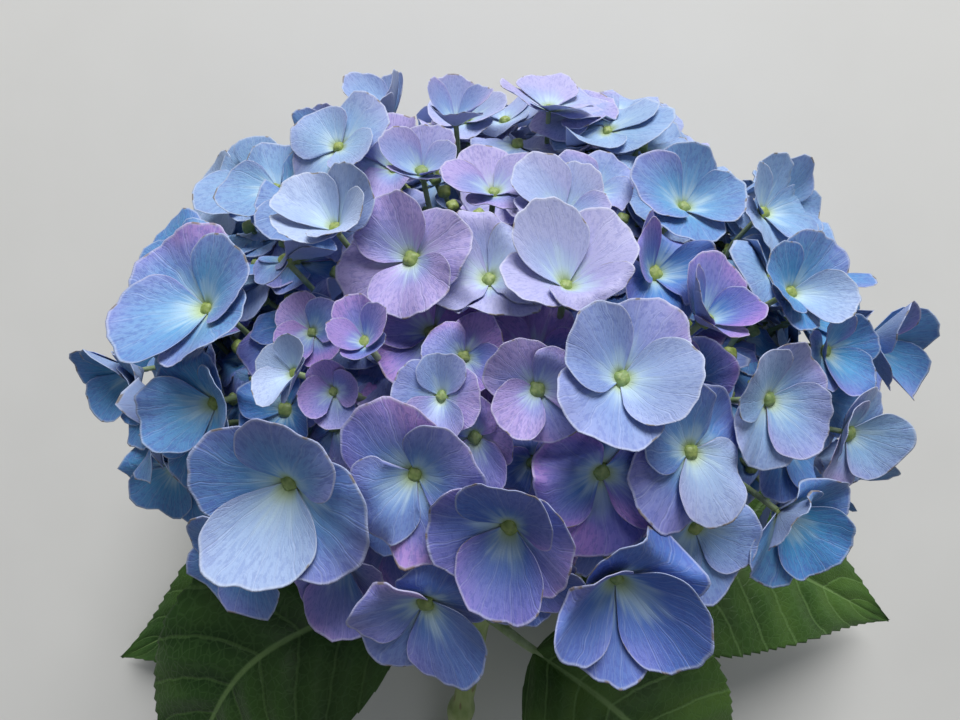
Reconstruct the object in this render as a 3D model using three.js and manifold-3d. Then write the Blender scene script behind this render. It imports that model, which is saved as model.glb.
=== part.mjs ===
// A cut hydrangea flower head (a mophead) on its leafy shoot, lying on its side.
// Millimetres, +Z up, the floor at z = 0. The shoot lies along +Y, cut end first, and its head faces up.
// The head is one big cyme: the stem forks into rays, each ray carries a cluster of florets on stalks.
import * as THREE from "three";
import { mergeVertices } from "three/addons/utils/BufferGeometryUtils.js";
import Module from "manifold-3d";

const wasm = await Module();
wasm.setup();

// The head: an oblate dome of florets round the stem's axis
const STEM_SLOPE = 25; // degrees that the shoot rises from its cut end to its head
const HEAD_CENTRE = new THREE.Vector3(-3, 57, 106);
const HEAD_REACH = 116; // from the axis out to the middles of the widest florets
const HEAD_RISE = 83; // from the head's centre up to the crown's florets
const HEAD_FALL = 40; // the flatter underside, below the centre
const LOWEST_DROP = 107; // degrees round from the crown to the last florets, under the rim
const FORK_BELOW = 55; // the stem forks this far below the head's centre

// Florets: four broad sepals round a small eye
const FLORETS = 122; // in the spiral, before those too near a large one are left out
const GOLDEN_TURN = 137.508;
const WIDTH_LEAST = 36;
const WIDTH_MOST = 45;
const WIDTH_BIAS = 1.5; // over 1, there are more small florets than large ones
const LAYERS = [-9, 2, -3.5, 7]; // how far a floret stands below or above the dome, by its place in the row
const TILT = 0.3; // most that a floret leans off the dome's own direction, as a slope
const LOBE_STEPS = 3; // corners of a sepal's lobe: the notch beside it and two shoulders
const NOTCH_SHARE = 0.66; // of the sepals' own reach
const CUP_LEAST = 0.16; // slope by which the sepals rise from the eye
const CUP_MOST = 0.46;
const PAIR_RISE = 0.1; // two of the four sepals stand this much steeper
const REACH_PLAY = 0.07; // share by which each corner's reach differs
const RISE_PLAY = 0.2;
const FLORET_DEPTH = 4; // from the eye down to the stalk
const STALK_SINK = 0.4; // of that depth, where the stalk ends inside
const SEED = 11;
// The large florets of the visible side: degrees round from the front, degrees down from the crown, width
const LARGE_FLORETS = [
  [-53, 58, 40],
  [-26, 76, 43],
  [-34, 40, 31],
  [10, 59, 35],
  [7, 70, 31],
  [-12, 70, 30],
  [-2, 79, 33],
  [10, 91, 38],
  [20, 45, 31],
  [7, 44, 33],
  [45, 52, 31],
  [30, 64, 29],
  [18, 70, 29],
  [9, 33, 29],
  [-11, 96, 34],
  [33, 86, 31],
];
const ROOM_NEAR_LARGE = 0.16; // of two florets' widths together, kept free round a large one
const SPREADING_ROUNDS = 40;
const SPREAD_STEP = 0.25; // of what is missing, moved in a round
const SPREAD_APART = 0.42; // of their widths together: florets nearer than this push each other along

// What the floor does to the side that lies on it
const PRESS_ZONE = 22; // everything lower than this gives way
const PRESS_DEPTH = 20; // how far the dome would reach below the floor

// Clusters, rays and stalks
const SIDE_CLUSTERS = ["front", "front_right", "back_right", "back", "back_left", "front_left"];
const CROWN_HALF_ANGLE = 31; // degrees at the fork between the crown's axis and its edge
const CLUSTER_GAP = 0.3;
const JOINT_GAP = 0.3;
const KNOB_RADIUS = 7.5;
const KNOB_SIDES = 10;
const RAY_SIDES = 6;
const RAY_BASE_RADIUS = 2.5;
const RAY_TIP_RADIUS = 1.9;
const RAY_SHARE = 0.36; // of the way from the fork to the dome
const HUB_SHARE = 0.5;
const SPRIGS = 4; // side stalks that leave each cluster's hub
const SPRIG_SHARE = 0.5; // of the way from the hub to the florets that the sprig carries
const LOWEST_STALK = 0.75; // of the sprig back from its tip to where its first floret's stalk leaves
const HUB_STALK_RADIUS = 2.8;
const SPRIG_RADIUS = 2.6;
const FLORET_STALK_RADIUS = 1;

// Stem
const STEM_TOP_RADIUS = 4.2;
const STEM_BASE_RADIUS = 5.2;
const UPPER_NODE = 34; // leaf joints, below the fork
const LOWER_NODE = 66;
const BARE_NODE = 128;
const NODE_SWELL = 1.7;
const NODE_HALF_LENGTH = 9;
const STEM_LEAN = 26; // how far the cut end lies left of the head's axis
const STEM_BEND = 1.4; // over 1, the lean grows towards the cut end
const STEM_SIDES = 10;
const STEM_STEPS = 22;

// Leaves
const LEAF_ROWS = 14;
const LEAF_COLUMNS = 4;
const LEAF_MIDRIB_DEPTH = 2.6;
const LEAF_EDGE_DEPTH = 1.0;
const LEAF_TOOTH = 2.2;
const LEAF_FOLD = 0.2; // the two halves rise from the midrib by this slope
const LEAF_ARCH = 0.6; // and bend down again towards the edge
const LEAF_LOW = 0.7; // under 1, the blade is broadest below its middle
const LEAF_FULL = 0.85; // under 1, its sides are fuller
const LEAF_POINT = 0.6; // by how much the tip is drawn in
const LEAF_TIP_HALF_WIDTH = 0.8;
const LEAF_FACE = new THREE.Vector3(0, 0.35, 1).normalize(); // what the blades' upper sides face
const PETIOLE_RADIUS = 2.3;
const PETIOLE_FOOT = 1.15; // of that radius where it leaves the stem
const PETIOLE_SHARE = 0.2; // of the leaf's whole midline

const radians = THREE.MathUtils.degToRad;
const side = new THREE.Vector3(1, 0, 0);
const up = new THREE.Vector3(0, Math.cos(radians(STEM_SLOPE)), Math.sin(radians(STEM_SLOPE)));
const front = side.clone().cross(up);
const fork = HEAD_CENTRE.clone().addScaledVector(up, -FORK_BELOW);
// From the fork to the flat cut, whose lower edge lies on the floor
const stemLength = (fork.z - STEM_BASE_RADIUS * up.y) / up.z;

// A number from 0 to 1 that depends only on a floret's place in the row and on what it is drawn for
function draw(index, purpose) {
  const wave = Math.sin(index * 12.9898 + purpose * 78.233 + SEED) * 43758.5453;
  return wave - Math.floor(wave);
}

// The floor presses flat whatever would reach below it, and the lowest points just meet it
function pressed(z) {
  if (z >= PRESS_ZONE) return z;
  const whole = PRESS_ZONE + PRESS_DEPTH;
  return PRESS_ZONE * (Math.max(z + PRESS_DEPTH, 0) / whole) ** (whole / PRESS_ZONE);
}

// A closed three.js geometry as a solid, with the floor's pressure on its vertices
function solidOf(geometry, press = true) {
  const bare = geometry.clone();
  bare.deleteAttribute("normal");
  bare.deleteAttribute("uv");
  const place = bare.getAttribute("position");
  if (press) for (let i = 0; i < place.count; i++) place.setZ(i, pressed(place.getZ(i)));
  const merged = mergeVertices(bare, 1e-3);
  return new wasm.Manifold(
    new wasm.Mesh({
      numProp: 3,
      vertProperties: merged.getAttribute("position").array,
      triVerts: new Uint32Array(merged.index.array),
    }),
  );
}

// The largest single body of a solid: sealed hollows are filled and loose scraps dropped
function wholeBody(solid) {
  return solid.decompose().reduce((most, body) => (body.volume() > most.volume() ? body : most));
}

function meshOf(name, solid, material) {
  const made = solid.getMesh();
  const geometry = new THREE.BufferGeometry();
  geometry.setAttribute("position", new THREE.BufferAttribute(new Float32Array(made.vertProperties), 3));
  geometry.setIndex(new THREE.BufferAttribute(new Uint32Array(made.triVerts), 1));
  geometry.computeVertexNormals();
  const mesh = new THREE.Mesh(geometry, material);
  mesh.name = name;
  return mesh;
}

// A round limb that tapers along a curve: a cylinder whose rings are laid on it
function limb(curve, radiusAt, sides, steps) {
  const geometry = new THREE.CylinderGeometry(1, 1, 1, sides, steps);
  const frames = curve.computeFrenetFrames(steps, false);
  const place = geometry.getAttribute("position");
  for (let i = 0; i < place.count; i++) {
    const share = place.getY(i) + 0.5;
    const ring = Math.round(share * steps);
    const radius = radiusAt(share);
    const point = curve.getPointAt(Math.min(share, 1));
    point.addScaledVector(frames.binormals[ring], place.getX(i) * radius);
    point.addScaledVector(frames.normals[ring], place.getZ(i) * radius);
    place.setXYZ(i, point.x, point.y, point.z);
  }
  return geometry;
}

// A straight three-sided stalk, sunk well into what it joins at both ends
function stalk(from, to, radius, taper = 0.8) {
  const corners = [0, 1, 2].map((k) => {
    const angle = (k * 2 * Math.PI) / 3;
    return new THREE.Vector2(Math.cos(angle) * radius, Math.sin(angle) * radius);
  });
  const length = from.distanceTo(to);
  const outline = new THREE.Shape(corners);
  const geometry = new THREE.ExtrudeGeometry(outline, { depth: length, bevelEnabled: false });
  const place = geometry.getAttribute("position");
  for (let i = 0; i < place.count; i++) {
    const share = place.getZ(i) > length / 2 ? taper : 1;
    place.setXY(i, place.getX(i) * share, place.getY(i) * share);
  }
  const turn = new THREE.Quaternion().setFromUnitVectors(
    new THREE.Vector3(0, 0, 1),
    to.clone().sub(from).normalize(),
  );
  return geometry.applyQuaternion(turn).translate(from.x, from.y, from.z);
}

// The dome: a place, and the direction that it faces there
function domePlace(turn, drop) {
  const out = Math.sin(drop) * HEAD_REACH;
  return HEAD_CENTRE.clone()
    .addScaledVector(side, out * Math.sin(turn))
    .addScaledVector(front, out * Math.cos(turn))
    .addScaledVector(up, Math.cos(drop) * halfHeight(Math.cos(drop)));
}

function halfHeight(above) {
  return above > 0 ? HEAD_RISE : HEAD_FALL;
}

function domeAngles(place) {
  const from = place.clone().sub(HEAD_CENTRE);
  const across = from.dot(side) / HEAD_REACH;
  const ahead = from.dot(front) / HEAD_REACH;
  const above = from.dot(up) / halfHeight(from.dot(up));
  return { turn: Math.atan2(across, ahead), drop: Math.atan2(Math.hypot(across, ahead), above) };
}

function domeFacing(turn, drop) {
  return new THREE.Vector3()
    .addScaledVector(side, (Math.sin(drop) * Math.sin(turn)) / HEAD_REACH)
    .addScaledVector(front, (Math.sin(drop) * Math.cos(turn)) / HEAD_REACH)
    .addScaledVector(up, Math.cos(drop) / halfHeight(Math.cos(drop)))
    .normalize();
}

// Drops from the crown that share the dome's area evenly among the spiral's florets
function evenDrops(count) {
  const fine = 600;
  const rings = [0];
  for (let i = 1; i <= fine; i++) {
    const drop = (radians(LOWEST_DROP) * (i - 0.5)) / fine;
    const band = Math.hypot(HEAD_REACH * Math.cos(drop), halfHeight(Math.cos(drop)) * Math.sin(drop));
    rings.push(rings[i - 1] + Math.sin(drop) * band);
  }
  return Array.from({ length: count }, (_, n) => {
    const wanted = (rings[fine] * (n + 0.5)) / count;
    const ring = rings.findIndex((area) => area >= wanted);
    return (radians(LOWEST_DROP) * ring) / fine;
  });
}

function placeFlorets() {
  const florets = LARGE_FLORETS.map(([turn, drop, width], index) => ({
    index,
    width,
    large: true,
    place: domePlace(radians(turn), radians(drop)),
  }));
  evenDrops(FLORETS).forEach((drop, n) => {
    const index = LARGE_FLORETS.length + n;
    const width = WIDTH_LEAST + (WIDTH_MOST - WIDTH_LEAST) * draw(index, 1) ** WIDTH_BIAS;
    const place = domePlace(radians(n * GOLDEN_TURN), drop);
    const crowded = florets.some(
      (one) => one.large && one.place.distanceTo(place) < (one.width + width) * ROOM_NEAR_LARGE,
    );
    if (!crowded) florets.push({ index, width, large: false, place });
  });
  for (let round = 0; round < SPREADING_ROUNDS; round++) spreadApart(florets);
  return florets.map(settleFloret);
}

// Florets that stand too near each other move apart along the dome; the large ones stay
function spreadApart(florets) {
  const pushes = florets.map(() => new THREE.Vector3());
  florets.forEach((one, i) =>
    florets.slice(i + 1).forEach((other, k) => {
      const apart = one.place.clone().sub(other.place);
      const short = SPREAD_APART * (one.width + other.width) - apart.length();
      if (short <= 0) return;
      apart.setLength(short * SPREAD_STEP);
      pushes[i].add(apart);
      pushes[i + 1 + k].sub(apart);
    }),
  );
  florets.forEach((one, i) => {
    if (one.large) return;
    const { turn, drop } = domeAngles(one.place.clone().add(pushes[i]));
    one.place = domePlace(turn, Math.min(drop, radians(LOWEST_DROP)));
  });
}

// A floret's own layer, lean and turn about its stalk
function settleFloret({ index, width, large, place }) {
  const { turn, drop } = domeAngles(place);
  const facing = domeFacing(turn, drop);
  const east = side.clone().multiplyScalar(Math.cos(turn)).addScaledVector(front, -Math.sin(turn));
  const north = facing.clone().cross(east).normalize();
  const lift = large ? LAYERS[3] : LAYERS[index % LAYERS.length];
  const middle = place.clone().addScaledVector(facing, lift);
  const lean = facing
    .clone()
    .addScaledVector(east, (draw(index, 2) * 2 - 1) * TILT)
    .addScaledVector(north, (draw(index, 3) * 2 - 1) * TILT)
    .normalize();
  const spin = draw(index, 4) * 2 * Math.PI;
  const first = east.clone().addScaledVector(lean, -east.dot(lean)).normalize().applyAxisAngle(lean, spin);
  const frame = new THREE.Matrix4().makeBasis(lean.clone().cross(first), lean, first);
  const cup = CUP_LEAST + (CUP_MOST - CUP_LEAST) * draw(index, 5);
  return { index, width, middle, lean, cup, frame: frame.setPosition(middle) };
}

// One floret: a flat ball of two caps whose rim is drawn out into four lobes and bent up into a cup
function floretSolid({ index, width, cup, frame }) {
  const reach = width / 2;
  const geometry = new THREE.SphereGeometry(1, 4 * LOBE_STEPS, 2);
  const place = geometry.getAttribute("position");
  for (let i = 0; i < place.count; i++) {
    const [x, y, z] = [place.getX(i), place.getY(i), place.getZ(i)];
    if (Math.abs(y) > 0.5) {
      place.setXYZ(i, 0, y > 0 ? 0 : -FLORET_DEPTH, 0);
      continue;
    }
    const angle = Math.atan2(z, x);
    const step = (Math.round((angle * 2 * LOBE_STEPS) / Math.PI) + 4 * LOBE_STEPS) % (4 * LOBE_STEPS);
    const lobe = Math.floor(step / LOBE_STEPS);
    const share = step % LOBE_STEPS ? 1 : NOTCH_SHARE;
    const out = reach * share * (1 + REACH_PLAY * (2 * draw(index, 10 + step) - 1));
    const slope = (cup + (lobe % 2) * PAIR_RISE) * (1 + RISE_PLAY * (2 * draw(index, 30 + step) - 1));
    const rise = reach * share * slope;
    place.setXYZ(i, Math.cos(angle) * out, rise, Math.sin(angle) * out);
  }
  return solidOf(geometry.applyMatrix4(frame));
}

// The crown's cluster is on the stem's own line and the others round it, each in its own cone of space
function clusterDirections() {
  const directions = [{ name: "crown", way: up.clone() }];
  SIDE_CLUSTERS.forEach((name, k) => {
    const turn = (k * 2 * Math.PI) / SIDE_CLUSTERS.length;
    const slope = radians(2 * CROWN_HALF_ANGLE);
    const way = up
      .clone()
      .multiplyScalar(Math.cos(slope))
      .addScaledVector(side, Math.sin(slope) * Math.sin(turn))
      .addScaledVector(front, Math.sin(slope) * Math.cos(turn));
    directions.push({ name, way });
  });
  return directions;
}

// How far the dome lies from the fork along a direction
function domeDistance(way) {
  const scale = (v) =>
    new THREE.Vector3(v.dot(side) / HEAD_REACH, v.dot(front) / HEAD_REACH, v.dot(up) / HEAD_RISE);
  const start = scale(fork.clone().sub(HEAD_CENTRE));
  const step = scale(way);
  const a = step.dot(step);
  const b = start.dot(step);
  return (-b + Math.sqrt(b * b - a * (start.dot(start) - 1))) / a;
}

// A cluster's florets shared among its sprigs: each new sprig starts at the floret furthest from the rest
function shareAmongSprigs(florets) {
  const heads = [florets[0]];
  const nearest = (one) => Math.min(...heads.map((head) => head.middle.distanceTo(one.middle)));
  while (heads.length < SPRIGS) {
    heads.push(florets.reduce((far, one) => (nearest(one) > nearest(far) ? one : far)));
  }
  const groups = heads.map(() => []);
  florets.forEach((one) => {
    const reaches = heads.map((head) => head.middle.distanceTo(one.middle));
    groups[reaches.indexOf(Math.min(...reaches))].push(one);
  });
  return groups;
}

function clusterSolid(cluster, others, florets) {
  const far = domeDistance(cluster.way);
  const along = (distance) => fork.clone().addScaledVector(cluster.way, distance);
  const hub = along(far * HUB_SHARE);
  let solid = solidOf(stalk(along(far * RAY_SHARE + JOINT_GAP), hub, HUB_STALK_RADIUS, 1));
  for (const group of shareAmongSprigs(florets)) {
    const sum = group.reduce((total, one) => total.add(one.middle), new THREE.Vector3());
    const knot = hub.clone().lerp(sum.divideScalar(group.length), SPRIG_SHARE);
    const back = hub.clone().sub(knot).setLength(SPRIG_RADIUS);
    solid = solid.add(solidOf(stalk(hub.clone().add(back), knot, SPRIG_RADIUS, 1)));
    const aside = (one) => one.middle.clone().sub(knot).angleTo(knot.clone().sub(hub));
    const order = group.slice().sort((one, other) => aside(other) - aside(one));
    order.forEach((one, k) => {
      const foot = one.middle.clone().addScaledVector(one.lean, -FLORET_DEPTH * STALK_SINK);
      const root = knot.clone().lerp(hub, LOWEST_STALK * (1 - (k + 1) / order.length));
      solid = solid.add(solidOf(stalk(root, foot, FLORET_STALK_RADIUS))).add(floretSolid(one));
    });
  }
  for (const other of others) solid = solid.subtract(beyond(cluster.way, other.way));
  return wholeBody(solid);
}

// All that is nearer to another cluster's direction: a great block behind the plane between the two
function beyond(own, other) {
  const size = 700;
  const across = other.clone().sub(own).normalize();
  const block = new THREE.BoxGeometry(size, size, size);
  block.applyQuaternion(new THREE.Quaternion().setFromUnitVectors(new THREE.Vector3(0, 0, 1), across));
  const centre = fork.clone().addScaledVector(across, size / 2 - CLUSTER_GAP / 2);
  return solidOf(block.translate(centre.x, centre.y, centre.z), false);
}

function raySolid(cluster) {
  const far = domeDistance(cluster.way) * RAY_SHARE;
  const start = fork.clone().addScaledVector(cluster.way, KNOB_RADIUS + JOINT_GAP);
  const end = fork.clone().addScaledVector(cluster.way, far);
  const taper = (share) => RAY_BASE_RADIUS + (RAY_TIP_RADIUS - RAY_BASE_RADIUS) * share;
  return solidOf(limb(new THREE.LineCurve3(start, end), taper, RAY_SIDES, 1), false);
}

// The stem's line, from its cut end up to the fork: it leans a little to the left on its way down
function stemPlace(below) {
  const share = below / stemLength;
  return fork
    .clone()
    .addScaledVector(up, -below)
    .addScaledVector(side, -STEM_LEAN * share ** STEM_BEND);
}

const stemLine = new THREE.CatmullRomCurve3(
  [1, 0.8, 0.6, 0.4, 0.2, 0].map((share) => stemPlace(stemLength * share)),
);

function stemRadius(share) {
  const below = stemLength * (1 - share);
  const taper = STEM_BASE_RADIUS + (STEM_TOP_RADIUS - STEM_BASE_RADIUS) * share;
  const swell = [UPPER_NODE, LOWER_NODE, BARE_NODE].reduce((most, node) => {
    const off = Math.abs(below - node) / NODE_HALF_LENGTH;
    return Math.max(most, off < 1 ? NODE_SWELL * Math.cos((off * Math.PI) / 2) ** 2 : 0);
  }, 0);
  return taper + swell;
}

function stemSolid() {
  const knob = new THREE.SphereGeometry(KNOB_RADIUS, KNOB_SIDES, KNOB_SIDES / 2);
  knob.translate(fork.x, fork.y, fork.z);
  const shaft = limb(stemLine, stemRadius, STEM_SIDES, STEM_STEPS);
  return solidOf(shaft, false).add(solidOf(knob, false));
}

// Leaves, in two pairs: each one's joint, the points that its midline passes from there, and its width
const LEAVES = {
  front_left: { joint: UPPER_NODE, width: 80, line: [[-42, -13, 16], [-92, -35, 28], [-134, -108, -4]] },
  front_right: { joint: LOWER_NODE, width: 88, line: [[20, -8, 21], [54, -28, 35], [106, -94, 3]] },
  back_right: { joint: UPPER_NODE, width: 86, line: [[28, -8, -12], [112, -6, -18], [196, -46, -48]] },
  back_left: { joint: LOWER_NODE, width: 84, line: [[-46, -2, -19], [-106, -4, -27], [-182, -40, -50]] },
};

// Half the blade's width along it: broad below the middle, drawn out to a fine tip
function leafHalfWidth(share, width) {
  const oval = Math.sin(Math.PI * share ** LEAF_LOW) ** LEAF_FULL;
  const tip = 1 - LEAF_POINT * share ** 4;
  return Math.max((width / 2) * oval * tip, LEAF_TIP_HALF_WIDTH);
}

function leafSolid({ joint, line, width }) {
  const foot = stemPlace(joint);
  const points = line.map(([x, y, z]) => new THREE.Vector3(x, y, z).add(foot));
  const midline = new THREE.CatmullRomCurve3([foot, ...points]);
  const blade = new THREE.BoxGeometry(2, 1, 1, LEAF_COLUMNS, 1, LEAF_ROWS);
  const place = blade.getAttribute("position");
  for (let i = 0; i < place.count; i++) {
    const across = place.getX(i);
    const share = place.getZ(i) + 0.5;
    const at = PETIOLE_SHARE + (1 - PETIOLE_SHARE) * share;
    const tangent = midline.getTangentAt(at);
    const outward = LEAF_FACE.clone().cross(tangent).normalize();
    const normal = tangent.clone().cross(outward).normalize();
    const row = Math.round(share * LEAF_ROWS);
    const tooth = Math.abs(across) > 0.99 && row % 2 && row > 1 && row < LEAF_ROWS - 1 ? LEAF_TOOTH : 0;
    const half = leafHalfWidth(share, width) + tooth;
    const depth = across === 0 ? LEAF_MIDRIB_DEPTH : LEAF_EDGE_DEPTH;
    const arch = LEAF_FOLD * half * (Math.abs(across) - LEAF_ARCH * across * across);
    const point = midline
      .getPointAt(at)
      .addScaledVector(outward, across * half)
      .addScaledVector(normal, arch + place.getY(i) * depth);
    place.setXYZ(i, point.x, point.y, point.z);
  }
  const petioleLine = new THREE.CatmullRomCurve3(
    [0, 0.5, 1, 1.4].map((share) => midline.getPointAt(share * PETIOLE_SHARE)),
  );
  const petiole = limb(petioleLine, (share) => PETIOLE_RADIUS * (PETIOLE_FOOT - 0.5 * share), 8, 4);
  const stemRoom = limb(stemLine, (share) => stemRadius(share) + JOINT_GAP, STEM_SIDES, STEM_STEPS);
  return wholeBody(solidOf(blade).add(solidOf(petiole, false)).subtract(solidOf(stemRoom, false)));
}

const sepalBlue = new THREE.MeshStandardMaterial({ color: 0x6f86cf, roughness: 0.55, metalness: 0 });
const stalkGreen = new THREE.MeshStandardMaterial({ color: 0x9fb274, roughness: 0.6, metalness: 0 });
const stemGreen = new THREE.MeshStandardMaterial({ color: 0x6f8d45, roughness: 0.6, metalness: 0 });
const leafGreen = new THREE.MeshStandardMaterial({ color: 0x3f6a2e, roughness: 0.5, metalness: 0 });

const flowerHead = new THREE.Group();
flowerHead.add(meshOf("stem", stemSolid(), stemGreen));
for (const [name, leaf] of Object.entries(LEAVES)) {
  flowerHead.add(meshOf(`leaf_${name}`, leafSolid(leaf), leafGreen));
}

const clusters = clusterDirections();
const florets = placeFlorets();
for (const cluster of clusters) {
  const others = clusters.filter((one) => one !== cluster);
  const own = florets.filter(({ middle }) => {
    const from = middle.clone().sub(fork).normalize();
    return others.every((one) => one.way.dot(from) < cluster.way.dot(from));
  });
  flowerHead.add(meshOf(`ray_${cluster.name}`, raySolid(cluster), stalkGreen));
  flowerHead.add(meshOf(`florets_${cluster.name}`, clusterSolid(cluster, others, own), sepalBlue));
}

export default flowerHead;
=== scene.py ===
import bmesh
import bpy
import numpy as np
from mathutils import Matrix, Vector


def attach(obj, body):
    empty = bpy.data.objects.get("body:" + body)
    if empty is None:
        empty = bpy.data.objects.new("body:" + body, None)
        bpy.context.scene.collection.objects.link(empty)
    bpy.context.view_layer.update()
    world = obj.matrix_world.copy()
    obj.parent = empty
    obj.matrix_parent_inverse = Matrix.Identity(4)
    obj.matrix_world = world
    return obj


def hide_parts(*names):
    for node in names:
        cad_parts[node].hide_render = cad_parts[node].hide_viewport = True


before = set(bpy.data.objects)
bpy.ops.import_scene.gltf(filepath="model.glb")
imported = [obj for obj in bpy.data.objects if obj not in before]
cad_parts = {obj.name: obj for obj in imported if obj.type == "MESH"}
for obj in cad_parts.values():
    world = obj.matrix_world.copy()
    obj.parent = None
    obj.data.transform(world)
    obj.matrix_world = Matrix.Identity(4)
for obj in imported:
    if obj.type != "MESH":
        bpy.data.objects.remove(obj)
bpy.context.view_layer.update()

# The head is one big cyme, an oblate dome of about four hundred florets round the stem's axis. Their
# places follow a golden spiral on the dome, and those that crowd each other move apart. The larger
# florets of the visible side have places and sizes of their own. Worked out in millimetres.
MM = 0.001
STEM_SLOPE = np.radians(25)
SIDE = np.array([1.0, 0.0, 0.0])
UP = np.array([0.0, np.cos(STEM_SLOPE), np.sin(STEM_SLOPE)])
FRONT = np.cross(SIDE, UP)
HEAD_CENTRE = np.array([-3.0, 57.0, 106.0])
HEAD_REACH = 116
HEAD_RISE = 83
HEAD_FALL = 40
LOWEST_DROP = np.radians(107)
FRONT_RISE = np.radians(13)  # the front's lowest florets stand this much higher
FORK_BELOW = 55
FORK = HEAD_CENTRE - FORK_BELOW * UP
SPIRAL_FLORETS = 420
GOLDEN_TURN = np.radians(137.508)
WIDTH_LEAST = 30
WIDTH_MOST = 40
WIDTH_BIAS = 1.4
LAYERS = np.array([-10, 1.5, -5, 6])  # how far a floret stands below or above the dome
RIM_DROP = np.radians(92)
RIM_LIFT = 1.5  # the most that a floret stands out from there on down
TILT = 0.3
SUNWARD = 0.75  # how far the florets of the visible side turn on towards the front
SUNWARD_SPAN = 60  # how far behind the head's middle that has faded out
OWN_LEAN_HELD = 1.3  # how much less a listed floret turns for its own lean up or down
ROOM_NEAR_SEEN = 0.13  # of two florets' widths together: nearer ones are left out
SUNK_NEAR_SEEN = 0.26  # and up to here they stand low, in the shade of the seen one
SUNK_LAYER = -11
LOW_NEAR_SEEN = 0.42  # and up to here none stands out over it
SPREADING_ROUNDS = 40
SPREAD_STEP = 0.25
SPREAD_APART = 0.32
PRESS_ZONE = 22
PRESS_DEPTH = 20
SEED = 11
# Degrees round from the front and down from the crown; width; where its first sepal points, seen
# from above; lean to the right and up the picture; slope of its sepals at the eye and at the tips;
# height over the dome; how lilac and how pale it is
SEEN_FLORETS = [
    (-47, 58, 45, 125, 0.1, 0.1, 38, 26, 6, 0.45, 0.1),
    (-30, 42, 34, 50, 0, 0.4, 42, 44, 8, 0.25, 0.8),
    (-39, 47, 26, 80, -0.2, 0.3, 52, 60, 4, 0.4, 0.25),
    (-37, 53, 32, 60, 0, 0, 39, 32, -8, 0.3, 0),
    (-19, 56, 23, 110, 0, 0.4, 49, 52, 3, 0.5, 0.1),
    (-16, 43, 33, 200, -0.3, 0.1, 29, 12, 3, 0.8, 0.3),
    (-30, 55, 20, 130, 0, 0, 22, 17, -2, 0.75, 0.1),
    (-27, 62, 20, 150, -0.1, 0.25, 44, 47, 5, 0.2, 0.75),
    (-23, 63, 19, 100, 0.3, 0.1, 34, 32, -1, 0.6, 0.2),
    (-8, 62, 23, 175, -0.1, 0.2, 39, 37, 3, 0.5, 0.35),
    (-6, 56, 21, 60, 0, 0.1, 29, 22, 0, 0.6, 0.1),
    (-10, 72, 38, 115, -0.05, 0, 38, 26, 5, 0.45, 0.15),
    (-24, 76, 46, 160, -0.15, -0.05, 40, 30, 6, 0.15, 0.1),
    (-40, 70, 34, 100, 0, -0.1, 40, 38, 2, 0.1, 0),
    (-4, 67, 23, 190, -0.1, 0, 34, 27, 1, 0.5, 0.1),
    (3, 61, 26, 125, 0, 0.15, 34, 22, 5, 0.6, 0.25),
    (12, 61, 37, 65, 0.1, 0.35, 40, 34, 10, 0.2, 0.35),
    (10, 72, 40, 80, 0, -0.22, 38, 28, 2, 0.45, 0),
    (3, 71, 28, 100, 0, 0, 39, 32, -8, 0.3, 0),
    (20, 71, 33, 45, 0.05, 0.15, 29, 12, 5, 0.25, 0.1),
    (0, 78, 36, 175, -0.25, -0.2, 40, 40, 6, 0.3, 0),
    (22, 84, 34, 100, 0.1, -0.1, 32, 12, -1, 0.1, 0.3),
    (11, 36, 30, 60, 0, 0.42, 42, 40, 4, 0.6, 0.5),
    (8, 48, 39, 40, 0, 0.55, 38, 46, 6, 0.85, 0.6),
    (24, 46, 35, 75, 0.1, 0.25, 46, 48, 2, 0.2, 0),
    (26, 55, 29, 90, 0, 0.42, 46, 52, 7, 0.5, 0),
    (47, 55, 32, 65, 0.1, 0.15, 42, 40, 5, 0.2, 0.05),
    (32, 67, 31, 55, 0.3, 0.1, 29, 12, 6, 0.5, 0.4),
    (24, 62, 27, 30, 0, 0, 24, 12, -4, 0.3, 0),
    (38, 76, 27, 60, 0, 0, 29, 12, -1, 0.1, 0.1),
    (50, 80, 30, 70, 0.2, 0, 29, 22, 4, 0.6, 0.35),
    (33, 85, 34, 60, 0.1, -0.15, 40, 30, 4, 0.1, 0),
    (11, 87, 46, 80, 0, -0.3, 40, 32, 5, 0, 0),
    (-9, 94, 38, 60, 0, -0.2, 34, 22, 3, 0.1, 0.1),
    (40, 37, 33, 80, 0, 0.3, 39, 32, 4, 0.2, 0.1),
    (70, 44, 33, 60, 0.1, 0.2, 34, 22, 3, 0.1, 0.35),
    (52, 66, 28, 30, 0.1, 0, 34, 22, 2, 0.2, 0.1),
    (-104, 18, 33, 90, -0.1, 0.25, 44, 54, 6, 0.5, 0.35),
    (-98, 29, 28, 70, -0.2, 0.1, 44, 42, 4, 0.4, 0.1),
    (-3, 45, 35, 100, -0.1, 0.36, 40, 34, 1, 0.8, 0.6),
    (-3, 30, 30, 110, 0, 0.28, 38, 28, 3, 0.85, 0.3),
    (-25, 26, 25, 80, 0, 0.28, 40, 34, 3, 0.5, 0.3),
    (23, 30, 26, 60, 0, 0.18, 34, 20, 2, 0.5, 0.3),
    (52, 74, 31, 60, 0.1, 0, 36, 24, -3, 0.1, 0.1),
    (-33, 68, 28, 40, 0, 0, 34, 20, -9, 0.1, 0),
    (-46, 78, 30, 70, 0, 0, 36, 24, -3, 0.1, 0),
    (-48, 9, 30, 90, 0, 0.3, 42, 52, 4, 0.5, 0.3),
    (4, 55, 27, 80, 0, 0.1, 28, 15, -5, 0.75, 0),
    (-12, 51, 30, 60, 0, 0.1, 28, 15, -7, 0.8, 0),
    (2, 92, 30, 75, 0, -0.1, 32, 20, -6, 0, 0),
]
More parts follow.
